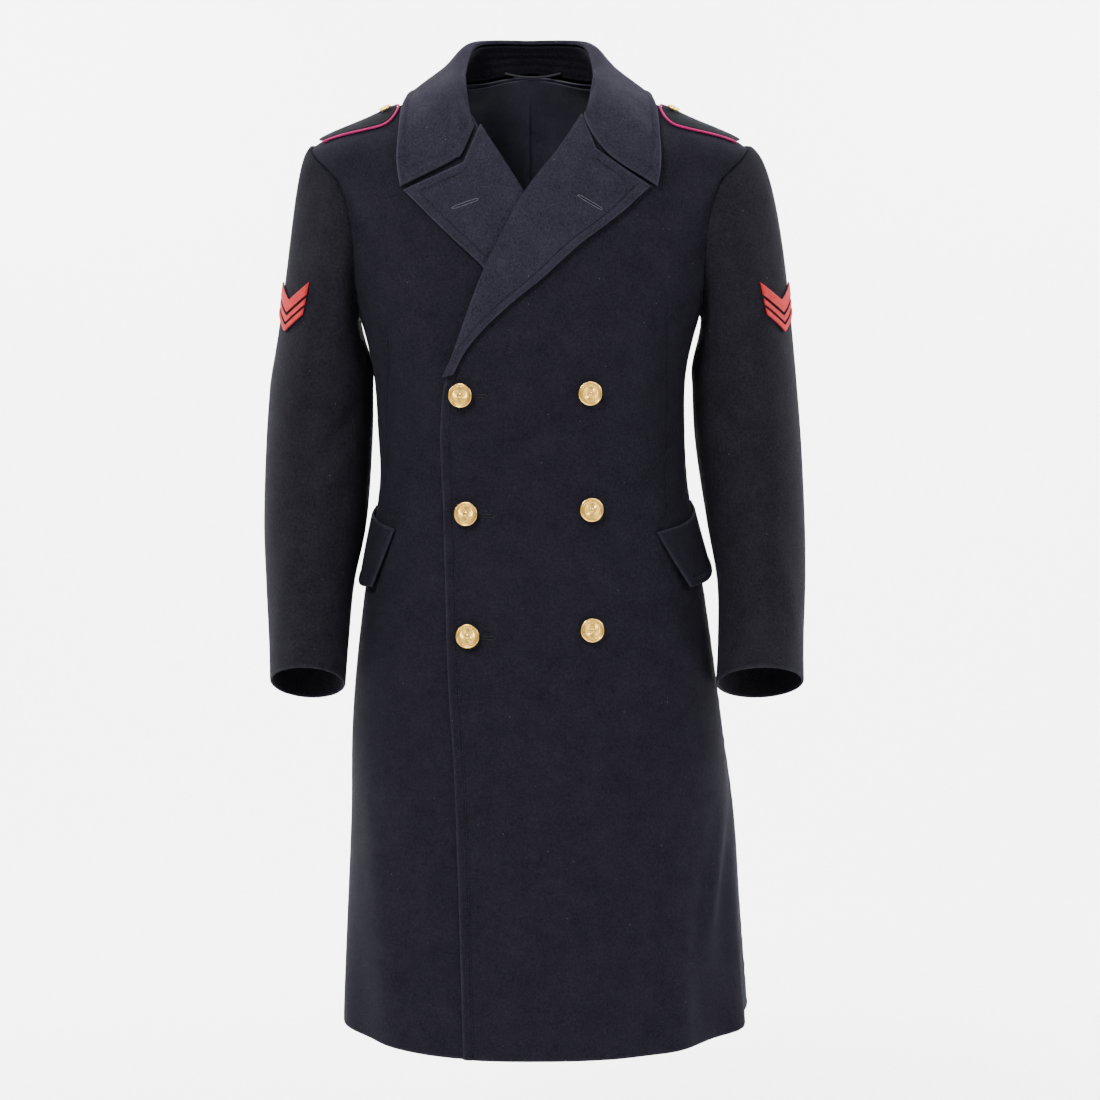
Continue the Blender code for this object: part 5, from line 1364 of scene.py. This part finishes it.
def build_button(name, place, normal, scale, turn):
    """A gilt button: its section turned round, with plain rays on its ground and a ring of beads."""
    key = np.arange(len(BUTTON_FACE))
    line = smooth(key, BUTTON_FACE, np.linspace(0, key[-1], FACE_ROWS))
    angle = np.linspace(0, 2 * math.pi, FACE_STEPS, endpoint=False)[None]
    radius, height, tarnish_and_shade_share = line[:, :1], line[:, 1:2], line[:, 2:]
    face = (np.arange(FACE_ROWS) < FACE_ROWS * 0.5)[:, None]
    zone = ease(radius, RAY_ZONE[0], RAY_ZONE[0] + 0.0012) * (1 - ease(radius, RAY_ZONE[1] - 0.0008, RAY_ZONE[1]))
    ray = np.abs(np.cos(angle * RAYS / 2)) ** 1.5
    bead = np.abs(np.sin(angle * BEADS / 2)) * bell(radius - BEAD_RADIUS, 0.00035)
    raised = face * (RAY_HEIGHT * zone * ray + BEAD_HEIGHT * bead)
    # Painted shade between the rays and beads: the ground between them is dulled more than the rays and beads.
    tarnish_and_shade_share = np.clip(tarnish_and_shade_share - face * (0.7 * zone * ray + 0.6 * bead), 0, 1)
    axis = unit(np.asarray(normal))
    right = unit(np.cross(axis, (0.0, 0.0, 1.0)))
    right = right * math.cos(turn) + np.cross(axis, right) * math.sin(turn)
    up = np.cross(axis, right)
    points = (place + scale * (radius * np.cos(angle))[..., None] * right
              + scale * (radius * np.sin(angle))[..., None] * up
              + scale * (height + raised)[..., None] * axis)
    index = np.arange(FACE_ROWS * FACE_STEPS).reshape(FACE_ROWS, FACE_STEPS)
    ahead = np.roll(index, -1, 1)
    faces = np.stack([index[:-1], index[1:], ahead[1:], ahead[:-1]], -1).reshape(-1, 4)
    fan = np.arange(FACE_STEPS // 2 - 1)
    cap = np.stack([fan, fan + 1, FACE_STEPS - 2 - fan, FACE_STEPS - 1 - fan], -1)
    faces = np.concatenate([faces, cap, cap[:, ::-1] + (FACE_ROWS - 1) * FACE_STEPS])
    a, b, c, d = points[0, 0], points[10, 0], points[10, 5], points[0, 5]
    if np.dot(np.cross(b - a, c - a), axis) < 0:
        faces = faces[:, ::-1]
    uv = np.stack([radius * np.cos(angle), radius * np.sin(angle)], -1).reshape(-1, 2)
    piece = make_mesh(name + "_gilt", points.reshape(-1, 3), faces, uv,
                      {"tarnish_and_shade": (tarnish_and_shade_share + 0 * angle).ravel()}, [GILT])
    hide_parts(name)
    return piece


# Sleeve badges

BADGE_TURN = math.radians(140)
BADGE_TOP = -0.2445
BADGE_HALF = 0.0240
BADGE_SLOPE = 0.80
BADGE_RADIUS = 0.062
BADGE_SEAT = 0.0007
BADGE_LENGTH = 0.0350
PATCH_THICK = 0.0012
# Stripes of a badge, columns: first and last distance down its middle, thickness
STRIPES = np.array([(0.0004, 0.0144, 0.0026), (0.0174, 0.0246, 0.0024), (0.0274, 0.0346, 0.0024)])
STRIPE_ROLL = 0.0007


def build_badge(side, word):
    """Three braid stripes that point down, on a wool patch: one shell, raised and ribbed where a stripe lies."""
    down = spaced([0, 1], [96], CROWD / BADGE_LENGTH)[0] * BADGE_LENGTH
    across = 2 * spaced([0, 1], [52], CROWD / (2 * BADGE_HALF))[0] - 1
    turn = BADGE_TURN + across * BADGE_HALF / BADGE_RADIUS
    rows = np.linspace(0, 1.2, 240)
    line = sleeve_point(side, turn[None], rows[:, None])[..., 2]
    height = BADGE_TOP - down[:, None] + BADGE_SLOPE * BADGE_HALF * np.sqrt(across ** 2 + 0.0016)[None]
    step = np.arange(len(across))[None] * 10.0
    place = np.interp((step - height).T.ravel(), (step - line).T.ravel(), np.tile(rows, len(across)))
    place = place.reshape(len(across), len(down)).T
    base = sleeve_point(side, turn[None] + 0 * place, place)
    normal = sleeve_normal(side, turn[None] + 0 * place, place)
    base = base + normal * sleeve_lift(side, turn[None], place, base)[..., None]
    thick = np.full(down.shape, PATCH_THICK)
    inside = np.zeros(down.shape)
    for first, last, high in STRIPES:
        reach = np.clip(np.minimum(down - first, last - down) / STRIPE_ROLL, 0, 1)
        thick = np.maximum(thick, PATCH_THICK + (high - PATCH_THICK) * np.sqrt(1 - (1 - reach) ** 2))
        inside = np.maximum(inside, reach)
    x = across * BADGE_HALF
    rib = np.sin((down[:, None] * 0.6 + np.abs(x)[None]) * 2 * math.pi / 0.0017)
    thick = thick[:, None] + 0.00013 * rib * inside[:, None]
    top = base + normal * (BADGE_SEAT + thick)[..., None]
    name = f"chevron_{word}"
    piece = shell(name + "_badge", top, base + normal * BADGE_SEAT, (), ("start", "end", "bottom", "top"),
                  [RED_BRAID, PATCH_WOOL])
    ground = np.tile((inside[:-1, None] + inside[1:, None] < 0.9), (1, len(across) - 1)).ravel()
    slots = np.ones(len(piece.data.polygons), np.int32)
    slots[:ground.size] = np.where(ground, 1, 0)
    piece.data.polygons.foreach_set("material_index", slots)
    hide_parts(name)
    return piece


# Lining and hanging loop

LINING_HEIGHT = -0.250
LINING_EASE = 0.0032
LINING_DROP = 0.001
LINING_BEND = 0.6
LINING_TOP_ANGLES = (12, 168)
LINING_LOW_ANGLES = (42, 138)
PLEAT_DEPTH = 0.0013
PLEAT_HALF = 0.0060
YOKE_SEAM = np.array([(-0.10, -0.112), (-0.034, -0.0800), (0.0, -0.0690), (0.034, -0.0800), (0.10, -0.112)])
LOOP_MIDDLE = 0.003
LOOP_HALF = 0.031
LOOP_RADIUS = 0.0012
LOOP_SAG = 0.0045
LOOP_Y = 0.0700
LOOP_TOP = 0.0025


def build_lining():
    """Back lining: inside the backs, with a pleat down its middle and a curved seam below the neck."""
    share = spaced([0, 0.5 - 0.02, 0.5, 1], [30, 3, 30], CROWD / 0.3)[0][None]
    down = spaced([0, 1], [76], CROWD / 0.25)[0][:, None]
    top_angle = LINING_TOP_ANGLES[0] + share * (LINING_TOP_ANGLES[1] - LINING_TOP_ANGLES[0])
    low_angle = LINING_LOW_ANGLES[0] + share * (LINING_LOW_ANGLES[1] - LINING_LOW_ANGLES[0])
    from_side = np.minimum(top_angle, 180 - top_angle)
    top_height = smooth(NECK_BACK[:, 0], NECK_BACK[:, 1], from_side) - LINING_DROP
    bend = down ** LINING_BEND
    angle = low_angle * bend + top_angle * (1 - bend)
    height = LINING_HEIGHT * down + top_height * (1 - down)
    plain, normal = body(-angle, height, 0.0)
    x, z = plain[..., 0], plain[..., 2]
    pleat = PLEAT_DEPTH * ease(x, -PLEAT_HALF, -0.0006) * (1 - ease(x, -0.0006, 0.0006)) * ease(-z, 0.01, 0.05)
    seam_at = smooth(YOKE_SEAM[:, 0], YOKE_SEAM[:, 1], x)
    groove = 0.0009 * bell(z - seam_at, 0.0012)
    wave = 0.0008 * np.sin(x * 2 * math.pi / 0.052 + z * 25) * ease(-z, 0.03, 0.10)
    inward = CLOTH + LINING_EASE + pleat - groove + wave + 0.0006
    outer = plain - normal * (CLOTH + LINING_EASE)
    inner = plain - normal * (inward + LINING)[..., None]
    piece = shell("back_lining_satin", outer, inner, (), ("start", "end", "bottom", "top"), [SATIN_LINING])
    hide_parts("back_lining")
    return piece, plain, normal


def build_loop():
    """Hanging loop: a cord that sags between two points of the collar's seam at the back."""
    across = np.linspace(-1, 1, 60)
    path = np.stack([LOOP_MIDDLE + across * LOOP_HALF, LOOP_Y + 0.0004 * across ** 4,
                     LOOP_TOP - LOOP_SAG * (1 - across ** 2)], -1)
    normals = np.tile((0.0, -1.0, 0.0), (60, 1))
    piece = cord_mesh("hanger_loop_cord", path, normals, LOOP_RADIUS, LOOP_CORD, lay=0.0036)
    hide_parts("hanger_loop")
    return piece


# Stitching and buttonholes

STITCH_LENGTH = 0.0026
STITCH_SPACE = 0.0009
STITCH_RADIUS = 0.00024
HOLE_THREAD = 0.00034
# Buttonholes of the lapels and of the lapping front, columns: x and height of both ends
LAPEL_HOLES = {"left": (0.0510, -0.1353, 0.0758, -0.1497), "right": (-0.0795, -0.1486, -0.0525, -0.1394)}
FRONT_HOLES = np.array([(-0.0640, -0.3413, -0.0430, -0.3424), (-0.0600, -0.4662, -0.0360, -0.4675),
                        (-0.0590, -0.5935, -0.0350, -0.5945)])


def stitch_path(grid, normal, far, side, first=0, last=None):
    """Points and normals along the stitch line of one side of a grid."""
    if side == "top":
        grid, normal = grid.transpose(1, 0, 2), normal.transpose(1, 0, 2)
        away = far["top"].T
    elif side == "bottom":
        grid, normal = grid[::-1].transpose(1, 0, 2), normal[::-1].transpose(1, 0, 2)
        away = far["bottom"][::-1].T
    elif side == "start":
        grid, normal = grid[:, ::-1], normal[:, ::-1]
        away = far["start"][:, ::-1]
    else:
        away = far["end"]
    keep = (away.min(1) < STITCH_INSET * 0.5) & (away.max(1) > STITCH_INSET)
    keep &= (np.arange(len(away)) >= first) & (np.arange(len(away)) < (len(away) if last is None else last))
    grid, normal, away = grid[keep], normal[keep], away[keep]
    index = np.clip(np.argmax(away <= STITCH_INSET, axis=1), 1, away.shape[1] - 1)
    row = np.arange(len(grid))
    a, b = away[row, index - 1], away[row, index]
    share = np.clip((a - STITCH_INSET) / np.maximum(a - b, 1e-9), 0, 1)[:, None]
    read = [field[row, index - 1] * (1 - share) + field[row, index] * share for field in (grid, normal)]
    return read[0] + read[1] * STITCH_RADIUS * 0.6, read[1]


def trim(path, start, end):
    """A path without the given lengths at its ends."""
    points, normals = path
    run = np.concatenate([[0], np.cumsum(np.linalg.norm(np.diff(points, axis=0), axis=1))])
    keep = (run >= start) & (run <= run[-1] - end)
    return points[keep], normals[keep]


def raised_over(grid, x, z):
    """Points of a grid's surface at x and z: y is read from the four nearest grid points, weighted by inverse squared
    distance.
    """
    flat = grid.reshape(-1, 3)
    away = (flat[:, 0][None] - x[:, None]) ** 2 + (flat[:, 2][None] - z[:, None]) ** 2
    order = np.argsort(away, axis=1)[:, :4]
    weight = 1 / (np.take_along_axis(away, order, 1) + 1e-9)
    y = (flat[:, 1][order] * weight).sum(1) / weight.sum(1)
    return np.stack([x, y, z], -1)


def build_buttonhole(name, grid, ends, width, material):
    """A worked buttonhole: overcast thread round a slit, with a rounder eye at its outer end."""
    x0, z0, x1, z1 = ends
    turn = np.linspace(0, 2 * math.pi, 97)[:-1]
    turn = np.append(turn, turn[0] + 2 * math.pi * 0.999)
    half = math.hypot(x1 - x0, z1 - z0) / 2
    along = np.sign(np.cos(turn)) * np.abs(np.cos(turn)) ** 0.35 * half
    across = np.sin(turn) * width / 2 * (1 + 0.45 * bell(along - half, 0.0030))
    ahead = np.array([x1 - x0, z1 - z0]) / (2 * half)
    x = (x0 + x1) / 2 + ahead[0] * along - ahead[1] * across
    z = (z0 + z1) / 2 + ahead[1] * along + ahead[0] * across
    path = raised_over(grid, x, z)
    normals = on_front(x, z)[1]
    piece = cord_mesh(name, path + normals * HOLE_THREAD * 0.3, normals, HOLE_THREAD, material,
                      strands=1, lay=0.0003, ridge=0.22, sides=8, steps=6)
    share = np.linspace(-0.86, 0.90, 24) * half
    x, z = (x0 + x1) / 2 + ahead[0] * share, (z0 + z1) / 2 + ahead[1] * share
    slit = raised_over(grid, x, z)
    normals = on_front(x, z)[1]
    dark = stitches(name + "_slit", [(slit, normals)], 1.70 * half, 0.0001, 0.00030, SLIT, arch=0.00005)
    return piece


SLIT = braid("slit_shadow", (0.004, 0.004, 0.006), 0.0010, 0.5, 0.1, sheen=0.0)
PATCH_WOOL = wool("badge_patch", (0.0055, 0.0055, 0.0080), lint=0.1, edge=0.1, sheen=0.01)


# Building

panels = {
    name: build_panel(name, front, side, edge, neck, neck_rows, dart)
    for name, front, side, edge, neck, neck_rows, dart in (
        ("front_left", True, 1, EDGE_LEFT, NECK_FRONT, 2, DART_LEFT),
        ("front_right", True, -1, EDGE_RIGHT, NECK_FRONT, 2, DART_RIGHT),
        ("back_left", False, 1, None, NECK_BACK, 4, None),
        ("back_right", False, -1, None, NECK_BACK, 4, None))
}
sleeves = [
    build_sleeve(side, word, part, first, last)
    for side, word in ((1, "left"), (-1, "right"))
    for part, first, last in (("top", FRONT_SEAM, BACK_SEAM), ("under", BACK_SEAM, FRONT_SEAM + SLEEVE_STEPS))
]
lapels = {
    "left": build_lapel("lapel_left", 1, LAPEL_LEFT, NOTCH_LEFT, EDGE_LEFT, left_lift),
    "right": build_lapel("lapel_right", -1, LAPEL_RIGHT, NOTCH_RIGHT, EDGE_RIGHT, lambda x, z: 0 * x),
}
collar = build_collar()
stand = build_stand()
flaps = [
    build_flap("flap_left", 1, FLAP_LEFT, 0.0080),
    build_flap("flap_right", -1, FLAP_RIGHT, 0.0035),
]
for side, word in ((1, "left"), (-1, "right")):
    build_strap(side, word)
    build_badge(side, word)
    point, normal = on_shoulder(np.array(side * STRAP_BUTTON_PLACE[0]), np.array(STRAP_BUTTON_PLACE[1]))
    place = point + normal * (STRAP_SEAT + STRAP_THICK + BUTTON_GAP + 0.0005)
    build_button(f"strap_button_{word}", place, normal, STRAP_BUTTON_SCALE, 0.4 * side)
for number, (name, (x, z)) in enumerate(BUTTONS.items()):
    x, z = np.array(x), np.array(z)
    point, normal = on_front(x, z, left_lift(x, z))
    build_button(name, point + normal * BUTTON_GAP, normal, 1.0, 0.37 * number)
build_lining()
build_loop()

# Topstitching
_, front_grid, front_normal, front_far = panels["front_left"]
front_rows = int(np.argmax(front_grid[:, 0, 2] > -0.320))
paths = [trim(stitch_path(front_grid, front_normal, front_far, "start", last=front_rows), 0.004, 0.0)]
for word in ("left", "right"):
    _, grid, normal, far = lapels[word]
    paths.append(trim(stitch_path(grid, normal, far, "end"), 0.004, 0.0108))
    paths.append(trim(stitch_path(grid, normal, far, "top"), 0.002, 0.0108))
_, grid, normal, far = collar
paths.append(trim(stitch_path(grid, normal, far, "end"), 0.0108, 0.0108))
paths.append(trim(stitch_path(grid, normal, far, "top"), 0.002, 0.0108))
paths.append(trim(stitch_path(grid, normal, far, "bottom"), 0.002, 0.0108))
for _, grid, normal, far in flaps:
    paths.append(trim(stitch_path(grid, normal, far, "top"), 0.0108, 0.0108))
    paths.append(trim(stitch_path(grid, normal, far, "start"), 0.003, 0.0108))
topstitch = stitches("topstitching", paths, STITCH_LENGTH, STITCH_SPACE, STITCH_RADIUS, THREAD)

# Buttonholes
for word in ("left", "right"):
    build_buttonhole(f"lapel_buttonhole_{word}", lapels[word][1], LAPEL_HOLES[word], 0.0025, PALE_THREAD)
for number, ends in enumerate(FRONT_HOLES):
    build_buttonhole(f"front_buttonhole_{number + 1}", front_grid, ends, 0.0028, THREAD)


# Studio

FLOOR = -1.34
BACK_WALL = 2.6
COVE = 0.9
FLOOR_HALF = 6.0


def build_floor():
    """Pale paper: a floor that curves up behind, its profile carried sideways, clear when seen from its back."""
    turn = np.linspace(0, math.pi / 2, 24)
    y = np.concatenate([np.linspace(-6.0, BACK_WALL - COVE, 24), BACK_WALL - COVE + COVE * np.sin(turn[1:]), [BACK_WALL]])
    z = np.concatenate([np.full(24, FLOOR), FLOOR + COVE * (1 - np.cos(turn[1:])), [4.5]])
    x = np.linspace(-FLOOR_HALF, FLOOR_HALF, 9)
    points = np.stack(np.broadcast_arrays(x[None], y[:, None], z[:, None]), -1)
    index = np.arange(len(y) * len(x)).reshape(len(y), len(x))
    faces = np.stack([index[:-1, :-1], index[:-1, 1:], index[1:, 1:], index[1:, :-1]], -1).reshape(-1, 4)
    paper = bpy.data.materials.new("pale_paper")
    paper.use_nodes = True
    tree = paper.node_tree
    place = node(tree, "ShaderNodeTexCoord").outputs["Object"]
    tooth = node(tree, "ShaderNodeTexNoise", {"Vector": place, "Scale": 90, "Detail": 3})
    ramp = node(tree, "ShaderNodeMapRange", {0: tooth.outputs[0], 1: 0.3, 2: 0.7, 3: 0.90, 4: 0.94}).outputs[0]
    colour = node(tree, "ShaderNodeCombineColor", {0: ramp, 1: ramp, 2: ramp}).outputs[0]
    shader = tree.nodes["Principled BSDF"]
    tree.links.new(colour, shader.inputs["Base Color"])
    shader.inputs["Roughness"].default_value = 0.9
    behind = node(tree, "ShaderNodeNewGeometry").outputs["Backfacing"]
    clear = node(tree, "ShaderNodeBsdfTransparent").outputs[0]
    seen = node(tree, "ShaderNodeMixShader", {0: behind, 1: shader.outputs[0], 2: clear}).outputs[0]
    tree.links.new(seen, tree.nodes["Material Output"].inputs["Surface"])
    mesh = bpy.data.meshes.new("pale_floor")
    mesh.from_pydata(points.reshape(-1, 3).tolist(), [], faces.tolist())
    mesh.shade_smooth()
    mesh.materials.append(paper)
    floor = bpy.data.objects.new("pale_floor", mesh)
    bpy.context.scene.collection.objects.link(floor)


def add_light(name, place, aim, size, power, colour=(1.0, 1.0, 1.0)):
    """A square area light that looks at a point."""
    lamp = bpy.data.lights.new(name, "AREA")
    lamp.shape = "SQUARE"
    lamp.size = size
    lamp.energy = power
    lamp.color = colour
    light = bpy.data.objects.new(name, lamp)
    bpy.context.scene.collection.objects.link(light)
    light.location = place
    light.rotation_euler = aim_angles(place, aim)


def aim_angles(place, aim):
    """Turns that point an object's -Z axis from its place at a point, with +Y up."""
    x, y, z = np.asarray(aim, float) - np.asarray(place, float)
    return (math.atan2(math.hypot(x, y), -z), 0.0, math.atan2(y, x) - math.pi / 2)


def build_studio():
    """Soft lights on both sides and above, a pale world, and the camera at the photograph's angle."""
    middle = (0.0, 0.0, -0.55)
    add_light("key", (-1.3, -2.2, 1.9), middle, 1.1, 190)
    add_light("fill", (2.1, -2.3, 0.9), middle, 1.8, 70)
    add_light("top", (0.0, 0.2, 2.2), middle, 1.6, 60)
    for side, word in ((-1, "left"), (1, "right")):
        add_light("back_" + word, (side * 2.2, 1.4, 0.8), middle, 1.2, 30)
        add_light("paper_" + word, (side * 1.6, 0.7, 0.6), (side * 0.3, 2.6, -0.6), 1.2, 190)
    world = bpy.data.worlds.new("studio")
    world.use_nodes = True
    world.node_tree.nodes["Background"].inputs["Color"].default_value = (1.0, 1.0, 1.0, 1)
    world.node_tree.nodes["Background"].inputs["Strength"].default_value = 0.6
    bpy.context.scene.world = world
    camera = bpy.data.cameras.new("camera")
    camera.lens = 83.84
    camera.sensor_width = 36
    holder = bpy.data.objects.new("camera", camera)
    bpy.context.scene.collection.objects.link(holder)
    place = (0.022, -2.8, -0.2002)
    holder.location = place
    holder.rotation_euler = aim_angles(place, (0.022, 0.0, -0.5192))
    bpy.context.scene.camera = holder


build_floor()
build_studio()
